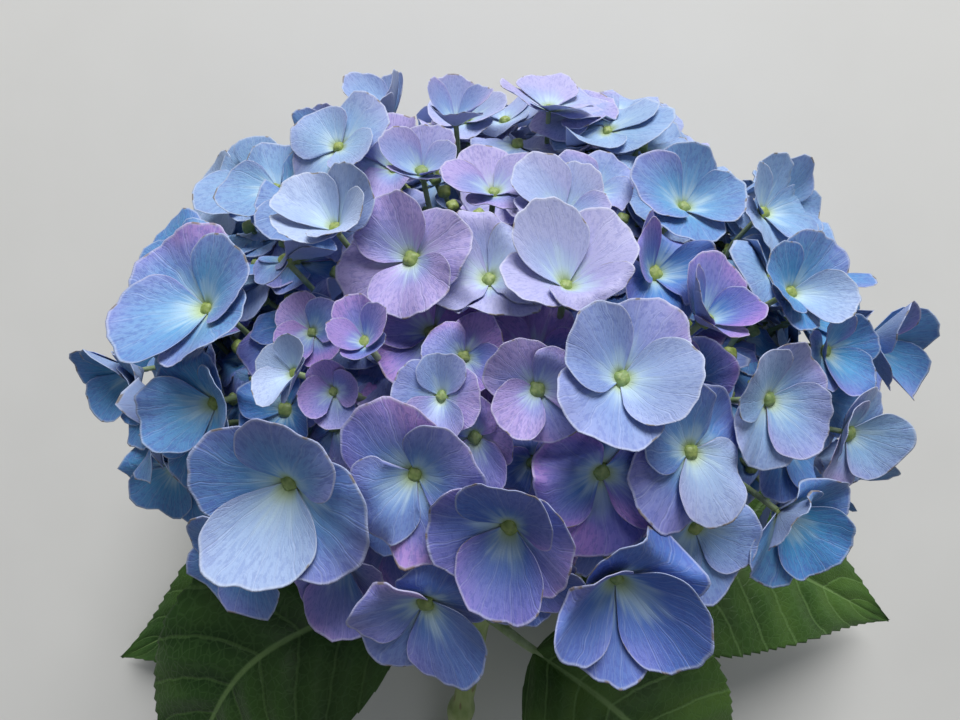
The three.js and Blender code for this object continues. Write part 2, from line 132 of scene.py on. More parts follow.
# Rows of that list, counted from 0, that have a faded sepal, and which of the four it is
FADED_SEPALS = {1: 0, 12: 1, 16: 3, 19: 3, 26: 3}


def draw(index, purpose):
    """A number from 0 to 1 that depends only on which one it is and on what it is drawn for."""
    wave = np.sin(np.asarray(index) * 12.9898 + purpose * 78.233 + SEED) * 43758.5453
    return wave - np.floor(wave)


def either_way(index, purpose):
    return draw(index, purpose) * 2 - 1


def unit(vectors):
    return vectors / np.linalg.norm(vectors, axis=-1, keepdims=True)


def distances(places, others):
    return np.linalg.norm(places[:, None] - others[None], axis=2)


def eased(share):
    return share**2 * (3 - 2 * share)


def half_height(above):
    return np.where(above > 0, HEAD_RISE, HEAD_FALL)


def dome_place(turn, drop):
    out = np.sin(drop) * HEAD_REACH
    rise = np.cos(drop) * half_height(np.cos(drop))
    return (
        HEAD_CENTRE
        + (out * np.sin(turn))[:, None] * SIDE
        + (out * np.cos(turn))[:, None] * FRONT
        + rise[:, None] * UP
    )


def dome_angles(place):
    off = place - HEAD_CENTRE
    across = off @ SIDE / HEAD_REACH
    ahead = off @ FRONT / HEAD_REACH
    above = off @ UP / half_height(off @ UP)
    return np.arctan2(across, ahead), np.arctan2(np.hypot(across, ahead), above)


def dome_facing(turn, drop):
    sideways = np.sin(drop) * np.sin(turn) / HEAD_REACH
    ahead = np.sin(drop) * np.cos(turn) / HEAD_REACH
    rise = np.cos(drop) / half_height(np.cos(drop))
    return unit(sideways[:, None] * SIDE + ahead[:, None] * FRONT + rise[:, None] * UP)


def lowest_drop(turn):
    return LOWEST_DROP - FRONT_RISE * np.clip(np.cos(turn), 0, 1) ** 2


def even_drops(count):
    """Drops from the crown that share the dome's area evenly among the spiral's florets."""
    fine = 600
    drop = LOWEST_DROP * (np.arange(1, fine + 1) - 0.5) / fine
    band = np.hypot(HEAD_REACH * np.cos(drop), half_height(np.cos(drop)) * np.sin(drop))
    area = np.concatenate([[0], np.cumsum(np.sin(drop) * band)])
    wanted = area[-1] * (np.arange(count) + 0.5) / count
    return LOWEST_DROP * np.searchsorted(area, wanted) / fine


def pressed(points):
    """The floor presses flat whatever would reach below it, and the lowest points just meet it."""
    whole = PRESS_ZONE + PRESS_DEPTH
    low = np.clip(points[..., 2] + PRESS_DEPTH, 0, None) / whole
    flattened = PRESS_ZONE * low ** (whole / PRESS_ZONE)
    height = np.where(points[..., 2] >= PRESS_ZONE, points[..., 2], flattened)
    return np.concatenate([points[..., :2], height[..., None]], axis=-1)


seen = np.array(SEEN_FLORETS, dtype=float)
seen_count = len(seen)
seen_turn, seen_drop, seen_width, seen_first, seen_right, seen_up = seen.T[:6]
seen_base, seen_tip, seen_lift, seen_lilac, seen_pale = seen.T[6:]
place = dome_place(np.radians(seen_turn), np.radians(seen_drop))
width = seen_width
for number, drop in enumerate(even_drops(SPIRAL_FLORETS)):
    own_width = WIDTH_LEAST + (WIDTH_MOST - WIDTH_LEAST) * draw(seen_count + number, 1) ** WIDTH_BIAS
    spiral_turn = np.array([number * GOLDEN_TURN])
    spot = dome_place(spiral_turn, np.minimum(drop, lowest_drop(spiral_turn)))
    room = (seen_width + own_width) * ROOM_NEAR_SEEN
    if (np.linalg.norm(place[:seen_count] - spot, axis=1) >= room).all():
        place = np.concatenate([place, spot])
        width = np.append(width, own_width)
for _ in range(SPREADING_ROUNDS):
    apart = place[:, None] - place[None]
    distance = np.linalg.norm(apart, axis=2)
    np.fill_diagonal(distance, np.inf)
    short = np.clip(SPREAD_APART * (width[:, None] + width[None]) - distance, 0, None)
    moved = place + (apart * (short * SPREAD_STEP / distance)[:, :, None]).sum(axis=1)
    turn, drop = dome_angles(moved)
    place[seen_count:] = dome_place(turn, np.minimum(drop, lowest_drop(turn)))[seen_count:]

floret = np.arange(len(place))
is_seen = floret < seen_count
turn, drop = dome_angles(place)
facing = dome_facing(turn, drop)
east = np.cos(turn)[:, None] * SIDE - np.sin(turn)[:, None] * FRONT
north = unit(np.cross(facing, east))
lift = LAYERS[floret % len(LAYERS)].astype(float)
near = (distances(place, place[:seen_count]) / (width[:, None] + seen_width[None])).min(axis=1)
lift[near < LOW_NEAR_SEEN] = np.minimum(lift, LAYERS[2])[near < LOW_NEAR_SEEN]
lift[near < SUNK_NEAR_SEEN] = SUNK_LAYER
lift[drop > RIM_DROP] = np.minimum(lift[drop > RIM_DROP], RIM_LIFT)
lift[:seen_count] = seen_lift
middle = place + lift[:, None] * facing
lean = facing + either_way(floret, 2)[:, None] * TILT * east
lean = lean + either_way(floret, 3)[:, None] * TILT * north
up_the_picture = np.array([0.0, 1.0, 0.0])
seen_lean = facing[:seen_count] + seen_right[:, None] * SIDE + seen_up[:, None] * up_the_picture
lean[:seen_count] = seen_lean
sunward = np.clip((middle - HEAD_CENTRE) @ FRONT / SUNWARD_SPAN + 1, 0, 1) * SUNWARD
# Those that are seen to open upwards, or to hang, keep their own lean
sunward[:seen_count] *= np.clip(1 - OWN_LEAN_HELD * np.abs(seen_up), 0, 1)
lean = unit(unit(lean) + sunward[:, None] * FRONT)
first_angle = draw(floret, 4) * 2 * np.pi
first_angle[:seen_count] = np.radians(seen_first)
flat_first = np.stack([np.cos(first_angle), np.sin(first_angle), 0 * first_angle], axis=1)
round_first = np.cos(first_angle)[:, None] * east + np.sin(first_angle)[:, None] * north
first = np.where(is_seen[:, None], flat_first, round_first)
first = unit(first - (first * lean).sum(axis=1)[:, None] * lean)

# Each floret belongs to the cluster of the ray whose direction from the fork is nearest to it
CLUSTERS = ["crown", "front", "front_right", "back_right", "back", "back_left", "front_left"]
CROWN_HALF_ANGLE = np.radians(31)
cluster_way = [UP]
for number in range(6):
    around = np.radians(60 * number)
    sideways = np.sin(around) * SIDE + np.cos(around) * FRONT
    cluster_way.append(np.cos(2 * CROWN_HALF_ANGLE) * UP + np.sin(2 * CROWN_HALF_ANGLE) * sideways)
cluster_way = np.array(cluster_way)
cluster = np.argmax(unit(middle - FORK) @ cluster_way.T, axis=1)

# Sepals: four broad, thin, softly ruffled sepals round each eye, an outer pair and an inner pair over
# it. Satin tissue with branching veins, cornflower blue to lilac. One thin closed sheet is shaped as a
# fan for every sepal, with finer sheets for the florets of the visible side, joined by cluster.
FAN_HALF_ANGLE = (70, 84)  # degrees each side of a sepal's midline, least and most
FAN_FULLNESS = (0.28, 0.44)  # under 1: the smaller, the broader its shoulders
SEPAL_BASE = 0.05  # of its length, where the sheet starts
SEPAL_SIDE_SHARE = 0.1  # of its length, how long the fan's side edges are
RIM_BAND = 0.018  # of its length, the outermost row of faces
SIDE_BAND = 0.35  # of that, the outermost column
SHEET_THICKNESS = 0.34
BASE_SLOPE = (26, 52)  # degrees over the flat at the eye, for the florets that aren't listed
TIP_SLOPE = (-4, 55)  # and at the sepals' tips
SLOPE_PLAY = (11, 30)  # degrees by which a floret's sepals differ at the eye and at the tips
BEYOND_CROWN = (75, 50)  # along +Y, from where on the florets open wider, and how far on in full
BEYOND_OPEN = (0.3, 0.7)  # how much flatter their sepals are there, at the eye and at the tips
SUNK_SLOPE = 0.6  # of their slope at the eye, for the florets that stand low
BOWL_LENGTH = 1.08  # of half a floret's width
SEPAL_LENGTH = 1.04
LENGTH_PLAY = 0.1
PAIR_LENGTH = (0.97, 1.05)  # of the inner and the outer pair
TURN_PLAY = 9  # degrees by which a sepal stands off the even quarter
RUFFLE = (0.04, 0.07)  # of a sepal's length, least and how much more at most
RUFFLE_WAVES = 4  # round a floret at least, and less than twice as many
FINE_RUFFLE = 0.018
FINE_WAVES = 4  # to each wave of the ruffle
NOTCH = 0.05  # of a sepal's length, at its tip
NOTCH_WIDTH = 0.16
OUTLINE_WAVES = ((0.05, 3.1, 1), (0.02, 8, 2), (0.011, 23, 3))  # height, how close, start
SPOON = (0.01, 0.09)  # how far a sepal bends off the bowl, least and how much more at most
SPOON_FLAT = 0.35
TWIST = 0.22
APART_BEND = 1.3
PAIR_GAP = 0.2  # of each pair off the bowl, at the eye
SHEET_TAPER = (1.1, 0.5)  # of the thickness: at the eye, and what is lost up to the tip
EYE_CLEARANCE = 4.5  # of an eye under the sepals that stand over it
MOST_MOVED = 5  # how far a floret goes down at most to clear them
SEEN_HIGHER = 0.5  # a listed floret counts as this much higher than others at its height
NEIGHBOUR_REACH = 0.62  # of two florets' widths together, up to where one can cover the other
SAME_SIDE = 0.3  # cosine of the angle between the ways that two neighbours face
TUCK_CLEARANCE = (0.9, 1.6)  # of the inner and the outer pair
TUCK_LAYER = 1.2  # more for each floret that lies between them
TUCK_SLOPE = 0.1  # more for every millimetre out from the upper floret's eye
TUCK_FULL = 1.05  # of the upper floret's reach, up to where it moves what is below all the way
TUCK_END = 1.45  # and from where on not at all
FINE_SHEET = (42, 7)  # faces across and along a sepal that is seen close
PLAIN_SHEET = (16, 5)
FINE_FROM_WIDTH = 21


def as_arrays(bm):
    """A mesh's points and its faces, the faces in an order that is the same each run."""
    points = np.array([vertex.co[:] for vertex in bm.verts])
    faces = np.array([[vertex.index for vertex in face.verts] for face in bm.faces])
    bm.free()
    return points, faces[np.lexsort(np.sort(faces, axis=1).T)]


def sheet_template(columns, rows):
    """A thin closed sheet as arrays: place across, place along, which points are below, faces."""
    bm = bmesh.new()
    bmesh.ops.create_grid(bm, x_segments=columns, y_segments=rows, size=1.0)
    bmesh.ops.solidify(bm, geom=bm.faces[:], thickness=0.1)
    bmesh.ops.recalc_face_normals(bm, faces=bm.faces[:])
    points, faces = as_arrays(bm)
    below = (points[:, 2] < points[:, 2].mean()).astype(float)
    # A little closer together near the sides, where the outline turns
    drawn_in = 0.45
    across = drawn_in * np.sin(points[:, 0] * np.pi / 2) + (1 - drawn_in) * points[:, 0]
    return across, (points[:, 1] + 1) / 2, below, faces


def drawn_between(limits, index, purpose):
    return limits[0] + (limits[1] - limits[0]) * draw(index, purpose)


def sheet_map(across, along, faces):
    """The sheet laid flat, for the material: from side to side and from the base to the tip."""
    return np.stack([(across[faces] + 1) / 2, along[faces]], axis=-1).reshape(1, -1, 2)


def bake_cells(across, along, below, faces, count, total, start):
    """A map of its own for every sheet: upper and lower sides each in a cell, the rim round the upper."""
    side = int(np.ceil(np.sqrt(2 * total)))
    corner_below = below[faces]
    rim = (corner_below.min(axis=1) != corner_below.max(axis=1))[:, None]
    under = (corner_below.min(axis=1) == 1)[:, None]
    inner_scale, rim_scale = 0.86, 0.94
    scale = np.where(rim & (corner_below == 1), rim_scale, inner_scale)
    inside = np.stack([across[faces] / 2 * scale + 0.5, (along[faces] - 0.5) * scale + 0.5], axis=-1)
    inside = inside.reshape(1, -1, 2)
    cell = 2 * (start + np.arange(count))[:, None] + np.broadcast_to(under, faces.shape).reshape(1, -1)
    return (inside + np.stack([cell % side, cell // side], axis=-1)) / side


def placed(name, data):
    made = bpy.data.objects.new(name, data)
    bpy.context.scene.collection.objects.link(made)
    return made


def joined_mesh(name, parts):
    """One mesh of many like shapes. A part has places (shapes, points, 3), faces, maps and numbers."""
    points, faces, start = [], [], 0
    for part in parts:
        shapes, count = part["places"].shape[:2]
        points.append(part["places"].reshape(-1, 3) * MM)
        offsets = start + count * np.arange(shapes)[:, None, None]
        faces.extend((part["faces"][None] + offsets).reshape(-1, part["faces"].shape[1]).tolist())
        start += shapes * count
    mesh = bpy.data.meshes.new(name)
    mesh.from_pydata(np.concatenate(points).tolist(), [], faces)
    mesh.polygons.foreach_set("use_smooth", np.ones(len(mesh.polygons), dtype=bool))
    for key in parts[0].get("maps", {}):
        layer = mesh.uv_layers.new(name=key)
        spots = np.concatenate([part["maps"][key].reshape(-1, 2) for part in parts])
        layer.uv.foreach_set("vector", spots.ravel().astype(np.float32))
    for key in parts[0].get("numbers", {}):
        values = []
        for part in parts:
            shapes, count = part["places"].shape[:2]
            own = np.asarray(part["numbers"][key], dtype=float)
            own = own[:, None] if own.ndim == 1 else own
            values.append(np.broadcast_to(own, (shapes, count)).ravel())
        attribute = mesh.attributes.new(key, "FLOAT", "POINT")
        attribute.data.foreach_set("value", np.concatenate(values).astype(np.float32))
    if "OFBake" in mesh.uv_layers:
        mesh.uv_layers["OFBake"].active_render = True
        mesh.uv_layers.active = mesh.uv_layers["OFBake"]
    return placed(name, mesh)


# A floret's four sepals share one bowl, whose slopes ease from each sepal into the next, so that no
# sepal runs through another: the inner pair lies over the bowl and the outer pair under it
second = np.cross(lean, first)
floret_length = width / 2 * BOWL_LENGTH
around_eye = np.arange(4)[None] + 4 * floret[:, None]
base_slope = np.repeat(np.radians(drawn_between(BASE_SLOPE, floret, 24))[:, None], 4, axis=1)
tip_slope = np.repeat(np.radians(drawn_between(TIP_SLOPE, floret, 25))[:, None], 4, axis=1)
# Beyond the crown they open wider
beyond = np.clip((middle[:, 1] - BEYOND_CROWN[0]) / BEYOND_CROWN[1], 0, 1)
base_slope *= 1 - BEYOND_OPEN[0] * beyond[:, None]
tip_slope *= 1 - BEYOND_OPEN[1] * beyond[:, None]
base_slope[:seen_count] = np.radians(seen_base[:, None])
tip_slope[:seen_count] = np.radians(seen_tip[:, None])
sunk = (lift == SUNK_LAYER) & ~is_seen
base_slope[sunk] *= SUNK_SLOPE
tip_slope[sunk] = np.minimum(tip_slope[sunk], 0)
base_slope = base_slope + np.radians(SLOPE_PLAY[0]) * either_way(around_eye, 26)
tip_slope = tip_slope + np.radians(SLOPE_PLAY[1]) * either_way(around_eye, 27)
ruffle = RUFFLE[0] + RUFFLE[1] * draw(floret, 30)
wave_count = np.floor(RUFFLE_WAVES * (1 + draw(floret, 31)))
wave_start = 2 * np.pi * draw(floret, 32)


def between_sepals(values, angle):
    """What holds at an angle round the eye: a sepal's own value, eased into the next sepal's."""
    spot = np.mod(angle / np.radians(90), 4)
    here = np.floor(spot).astype(int) % 4
    share = spot - np.floor(spot)
    share = eased(share)
    following = np.take_along_axis(values, (here + 1) % 4, 1)
    return np.take_along_axis(values, here, 1) * (1 - share) + following * share


def bowl(own, angle, arc=None, out=None):
    """The floret's bowl at an angle round the eye and an arc's length, or a distance, out from it."""
    base = between_sepals(base_slope[own], angle)
    length = floret_length[own][:, None]
    bend = (between_sepals(tip_slope[own], angle) - base) / length
    bend = np.where(np.abs(bend) < 1e-4, 1e-4, bend)
    if out is None:
        slope = base + bend * arc
    else:
        slope = np.arcsin(np.clip(np.sin(base) + bend * out, -0.98, 0.98))
    out = (np.sin(slope) - np.sin(base)) / bend
    rise = (np.cos(base) - np.cos(slope)) / bend
    edge = np.clip(out / length, 0, 1.2) ** 3 * length
    wave = np.sin(wave_count[own][:, None] * angle + wave_start[own][:, None])
    fine_wave = np.sin(FINE_WAVES * wave_count[own][:, None] * angle - wave_start[own][:, None])
    return out, rise + edge * (ruffle[own][:, None] * wave + FINE_RUFFLE * fine_wave)


# One row for each sepal: its floret, which of the four it is, and its own outline and bends
sepal_floret = np.repeat(floret, 4)
sepal_place = np.tile(np.arange(4), len(floret))
sepal = np.arange(len(sepal_floret))
inner = sepal_place % 2 == 1
sepal_angle = np.radians(90) * sepal_place + np.radians(TURN_PLAY) * either_way(sepal, 20)
sepal_length = width[sepal_floret] / 2 * (SEPAL_LENGTH + LENGTH_PLAY * either_way(sepal, 21))
sepal_length = sepal_length * np.where(inner, *PAIR_LENGTH)
fan = np.radians(drawn_between(FAN_HALF_ANGLE, sepal, 22))
fullness = drawn_between(FAN_FULLNESS, sepal, 23)
notch = NOTCH * (draw(sepal, 33) * 2 - 0.9)
edge_start = 2 * np.pi * draw(sepal, 34)
spoon = SPOON[1] * draw(sepal, 28) + SPOON[0]
twist = TWIST * either_way(sepal, 29)


def over_florets(own, ahead, aside, up):
    """Places this far along, across and up from each floret's middle, as its first sepal points."""
    points = middle[own][:, None] + ahead[..., None] * first[own][:, None]
    points = points + aside[..., None] * second[own][:, None]
    return points + up[..., None] * lean[own][:, None]


def sepal_points(rows, across, along, below):
    """The places of the sheet's points on the given sepals."""
    u = across[None] * (1 - SIDE_BAND * RIM_BAND)
    u = np.where(np.abs(across)[None] > 0.999, across[None], u)
    column = lambda values: values[rows][:, None]
    wavy = lambda size, turns, start: size * np.sin(turns * u + start * column(edge_start))
    reach = np.clip(np.cos(u * np.pi / 2), 0, None) ** column(fullness)
    reach = SEPAL_SIDE_SHARE + (1 - SEPAL_SIDE_SHARE) * reach
    reach = reach * (1 - column(notch) * np.exp(-((u / NOTCH_WIDTH) ** 2)))
    broad, middling, fine = (wavy(*wave) for wave in OUTLINE_WAVES)
    reach = reach * (1 + broad + middling) * (1 + fine)
    share = SEPAL_BASE + (1 - SEPAL_BASE) * along[None] * reach
    own = sepal_floret[rows]
    angle = column(sepal_angle) - u * column(fan)
    out, rise = bowl(own, angle, arc=share * column(sepal_length))
    turned = np.abs(column(twist)) * (1 + np.sign(column(twist)) * u) / 2
    apart = column(spoon) * (SPOON_FLAT + u**2) + turned
    apart = column(sepal_length) * apart * share**APART_BEND + PAIR_GAP
    rise = rise + np.where(column(inner), apart, -apart)
    taper = SHEET_TAPER[0] - SHEET_TAPER[1] * along[None]
    rise = rise - below[None] * SHEET_THICKNESS * taper
    return over_florets(own, out * np.cos(angle), out * np.sin(angle), rise)


def tucked(points, higher, clearance):
    """Points moved down out of the way of a floret that stands over them."""
    off = points - middle[higher]
    out = np.hypot(off @ first[higher], off @ second[higher])
    angle = np.arctan2(off @ second[higher], off @ first[higher])[None]
    own = np.array([higher])
    edge = bowl(own, angle, arc=floret_length[higher])[0][0]
    under = bowl(own, angle, out=np.minimum(out, edge)[None])[1][0] - clearance - TUCK_SLOPE * out
    near = np.clip((TUCK_END - out / edge) / (TUCK_END - TUCK_FULL), 0, 1)
    down = np.clip(off @ lean[higher] - under, 0, None) * eased(near)
    return points - down[:, None] * lean[higher]


# The florets in order from the highest over the dome, each with its neighbours that stand over it
height_order = np.argsort(-(lift + SEEN_HIGHER * is_seen), kind="stable")
standing = np.empty(len(floret), dtype=int)
standing[height_order] = floret
over, between = {}, {}
stood = middle.copy()
for one in height_order:
    gap = np.linalg.norm(middle - middle[one], axis=1)
    close = (standing < standing[one]) & (gap < NEIGHBOUR_REACH * (width + width[one]))
    over[one] = np.nonzero(close & (facing @ facing[one] > SAME_SIDE))[0]
    between[one] = [sum(higher in over[other] for other in over[one]) for higher in over[one]]
    for higher in over[one]:
        down = tucked(middle[one][None], higher, EYE_CLEARANCE)[0] - middle[one]
        left_to_move = max(MOST_MOVED - np.linalg.norm(middle[one] - stood[one]), 0)
        middle[one] += down * min(1, left_to_move / max(np.linalg.norm(down), 1e-6))

# How azure, lilac and pale each sepal is: azure at the sides, lilac high in the middle, and more azure
# and paler beyond the crown, a painted highlight that stands in for the sky light on the far florets.
# Every floret has its own share of each, and its sepals differ from it by a little
AZURE_SIDES = (0.2, 1.7)  # of the head's reach, from where on, and how fast it comes on outwards
AZURE_PLAY = 0.6
PAINTED_SKY_AZURE = 0.5  # more beyond the crown: painted sky light on the far florets
LILAC_MIDDLE = (0.55, -12, 62)  # how much, where across, and how far it spreads
LILAC_PLAY = 0.7
LILAC_LOST = 0.3  # to azure
PALE_PLAY = 0.3
PAINTED_SKY_PALE = (0.45, 0.2)  # painted highlight of the sky light beyond the crown: of the other and of the listed florets
FADED = 0.6  # how pale a faded sepal is
SEPAL_TONE_PLAY = (0.2, 0.45, 0.2)  # of azure, lilac and pale
from_side = np.abs(middle[:, 0] - HEAD_CENTRE[0]) / HEAD_REACH
azure = (from_side - AZURE_SIDES[0]) * AZURE_SIDES[1] + AZURE_PLAY * (draw(floret, 40) - 0.35)
# More azure beyond the crown: painted sky light on the far florets
azure = np.clip(azure + PAINTED_SKY_AZURE * beyond, 0, 1)
lilac = LILAC_MIDDLE[0] * np.exp(-(((middle[:, 0] - LILAC_MIDDLE[1]) / LILAC_MIDDLE[2]) ** 2))
lilac = lilac + LILAC_PLAY * (draw(floret, 41) - 0.5) - LILAC_LOST * azure
# Paler beyond the crown: a painted highlight of the sky light on the far florets
pale = PALE_PLAY * draw(floret, 42) ** 2 + PAINTED_SKY_PALE[0] * beyond
lilac[:seen_count] = seen_lilac - LILAC_LOST * azure[:seen_count]
# The listed florets get less of that painted highlight beyond the crown
pale[:seen_count] = seen_pale + PAINTED_SKY_PALE[1] * beyond[:seen_count]
sepal_azure, sepal_lilac, sepal_pale = (
    np.clip(tone[sepal_floret] + play * (draw(sepal, purpose) - 0.5), least, 1)
    for tone, play, purpose, least in zip(
        (azure, lilac, pale), SEPAL_TONE_PLAY, (43, 44, 45), (0, -0.2, 0)
    )
)
for row, faded in FADED_SEPALS.items():
    sepal_pale[4 * row + faded] = FADED


class Paint:
    """The nodes of a material or a group. Inputs are numbers, colours or other nodes' outputs."""

    def __init__(self, tree):
        self.tree = tree

    def join(self, value, socket):
        self.tree.links.new(value, socket)

    def add(self, kind, inputs=(), **settings):
        made = self.tree.nodes.new(kind)
        for name, value in settings.items():
            setattr(made, name, value)
        for key, value in dict(inputs).items():
            if isinstance(value, bpy.types.NodeSocket):
                self.join(value, made.inputs[key])
            else:
                made.inputs[key].default_value = value
        return made

    def calc(self, operation, *values):
        return self.add("ShaderNodeMath", enumerate(values), operation=operation).outputs[0]

    def times(self, a, b):
        return self.calc("MULTIPLY", a, b)

    def plus(self, a, b):
        return self.calc("ADD", a, b)

    def minus(self, a, b):
        return self.calc("SUBTRACT", a, b)

    def smooth(self, value, low, high, to_low=0.0, to_high=1.0):
        limits = {"From Min": low, "From Max": high, "To Min": to_low, "To Max": to_high}
        inputs = {"Value": value, **limits}
        return self.add("ShaderNodeMapRange", inputs, interpolation_type="SMOOTHSTEP").outputs[0]

    def blend(self, share, under, over):
        """Two colours mixed, each three numbers or a node's output."""
        inputs = {0: share}
        for key, tone in ((6, under), (7, over)):
            inputs[key] = tone if isinstance(tone, bpy.types.NodeSocket) else (*tone, 1.0)
        return self.add("ShaderNodeMix", inputs, data_type="RGBA").outputs[2]

    def tint(self, base, mask, share, tone):
        return self.blend(self.times(mask, share), base, tone)

    def noise(self, vector, scale, detail=2.0, roughness=0.5):
        inputs = {"Vector": vector, "Scale": scale, "Detail": detail, "Roughness": roughness}
        return self.add("ShaderNodeTexNoise", inputs).outputs["Fac"]

    def number(self, name):
        made = self.add("ShaderNodeAttribute", attribute_name=name, attribute_type="GEOMETRY")
        return made.outputs["Fac"]

    def object_place(self):
        return self.add("ShaderNodeTexCoord").outputs["Object"]

    def vector(self, *parts):
        return self.add("ShaderNodeCombineXYZ", enumerate(parts)).outputs[0]

    def coat(self, shader, base, roughness, height, strength, depth):
        """The shader's colour and roughness, and a fine relief."""
        relief = {"Height": height, "Strength": strength, "Distance": depth}
        self.join(base, shader.inputs["Base Color"])
        self.join(roughness, shader.inputs["Roughness"])
        self.join(self.add("ShaderNodeBump", relief).outputs[0], shader.inputs["Normal"])


def new_material(name):
    material = bpy.data.materials.new(name)
    material.use_nodes = True
    tree = material.node_tree
    return material, Paint(tree), tree.nodes["Principled BSDF"]


def new_group(name, inputs, outputs):
    """A shader node group, with the nodes that its inputs come in by and its outputs go out by."""
    tree = bpy.data.node_groups.new(name, "ShaderNodeTree")
    for socket, kind in inputs:
        tree.interface.new_socket(name=socket, in_out="INPUT", socket_type=kind)
    for socket in outputs:
        tree.interface.new_socket(name=socket, in_out="OUTPUT", socket_type="NodeSocketFloat")
    given, out = tree.nodes.new("NodeGroupInput"), tree.nodes.new("NodeGroupOutput")
    return Paint(tree), given.outputs, out.inputs


# Of each order of a sepal's veins: how many, how wavy, how thick, from where out, and how clear
SEPAL_VEINS = (
    (3.0, 0.5, 0.035, -0.1, 1.0),
    (7.5, 1.3, 0.05, 0.15, 0.7),
    (17.0, 3.2, 0.08, 0.4, 0.5),
)
CORNFLOWER = (0.078, 0.165, 0.50)
AZURE = (0.055, 0.28, 0.56)
LILAC = (0.27, 0.20, 0.60)
FLUSHED = (0.43, 0.23, 0.60)
PALE_BLUE = (0.47, 0.58, 0.80)
FLECK = (0.07, 0.10, 0.40)
VEIN_TONE = (0.55, 0.62, 0.85)
THROAT_TONE = (0.54, 0.71, 0.76)
HEART_GREEN = (0.45, 0.56, 0.20)
UNDERSIDE = (0.46, 0.53, 0.78)
RIM_TONE_AND_HIGHLIGHT = (0.66, 0.70, 0.76)
BROWNED = (0.18, 0.13, 0.06)


def sepal_tissue():
    """Veins, flecks between them, the pale throat and the rim, from the sepal's own map."""
    n, given, out = new_group(
        "sepal_tissue",
        [("Map", "NodeSocketVector"), ("Chance", "NodeSocketFloat")],
        ("Veins", "Flecks", "Throat", "Rim", "Browned"),
    )
    place = n.add("ShaderNodeSeparateXYZ", {0: given["Map"]}).outputs
    u = n.calc("MULTIPLY_ADD", place[0], 2.0, -1.0)
    v = place[1]
    chance = n.times(given["Chance"], 37.0)
    bend = n.vector(n.times(u, 1.8), n.times(v, 2.4), chance)
    wobble = n.minus(n.noise(bend, 1.3, 1.0), 0.5)
    veins = 0.0
    for count, play, thickness, start, weight in SEPAL_VEINS:
        phase = n.plus(n.times(u, count), n.times(wobble, play))
        off = n.calc("ABSOLUTE", n.minus(n.calc("FRACT", phase), 0.5))
        wide = n.calc("DIVIDE", thickness, n.plus(v, 0.12))
        line = n.smooth(n.calc("DIVIDE", off, wide), 0.25, 1.0, 1.0, 0.0)
        line = n.times(line, n.smooth(v, start, start + 0.25, 0.0, weight))
        veins = n.calc("MAXIMUM", line, veins)
    n.join(veins, out["Veins"])
    fleck_map = n.vector(n.times(u, 22.0), n.times(v, 11.0), chance)
    flecks = n.smooth(n.noise(fleck_map, 1.0, 2.5, 0.65), 0.46, 0.62)
    n.join(n.times(flecks, n.smooth(v, 0.25, 0.75, 0.15, 1.0)), out["Flecks"])
    side_rim = n.smooth(n.calc("ABSOLUTE", u), 0.975, 0.995)
    n.join(n.calc("MAXIMUM", side_rim, n.smooth(v, 0.955, 0.985)), out["Rim"])
    streaked = n.noise(n.vector(n.times(u, 5.0), v, chance), 1.3, 1.0)
    uneven = n.plus(v, n.plus(n.times(wobble, 0.35), n.times(streaked, 0.6)))
    n.join(n.smooth(uneven, 0.36, 0.82, 1.0, 0.0), out["Throat"])
    brown = n.smooth(streaked, 0.6, 0.68)
    n.join(n.times(brown, n.smooth(v, 0.965, 0.985)), out["Browned"])
    return n.tree


tissue_group = sepal_tissue()


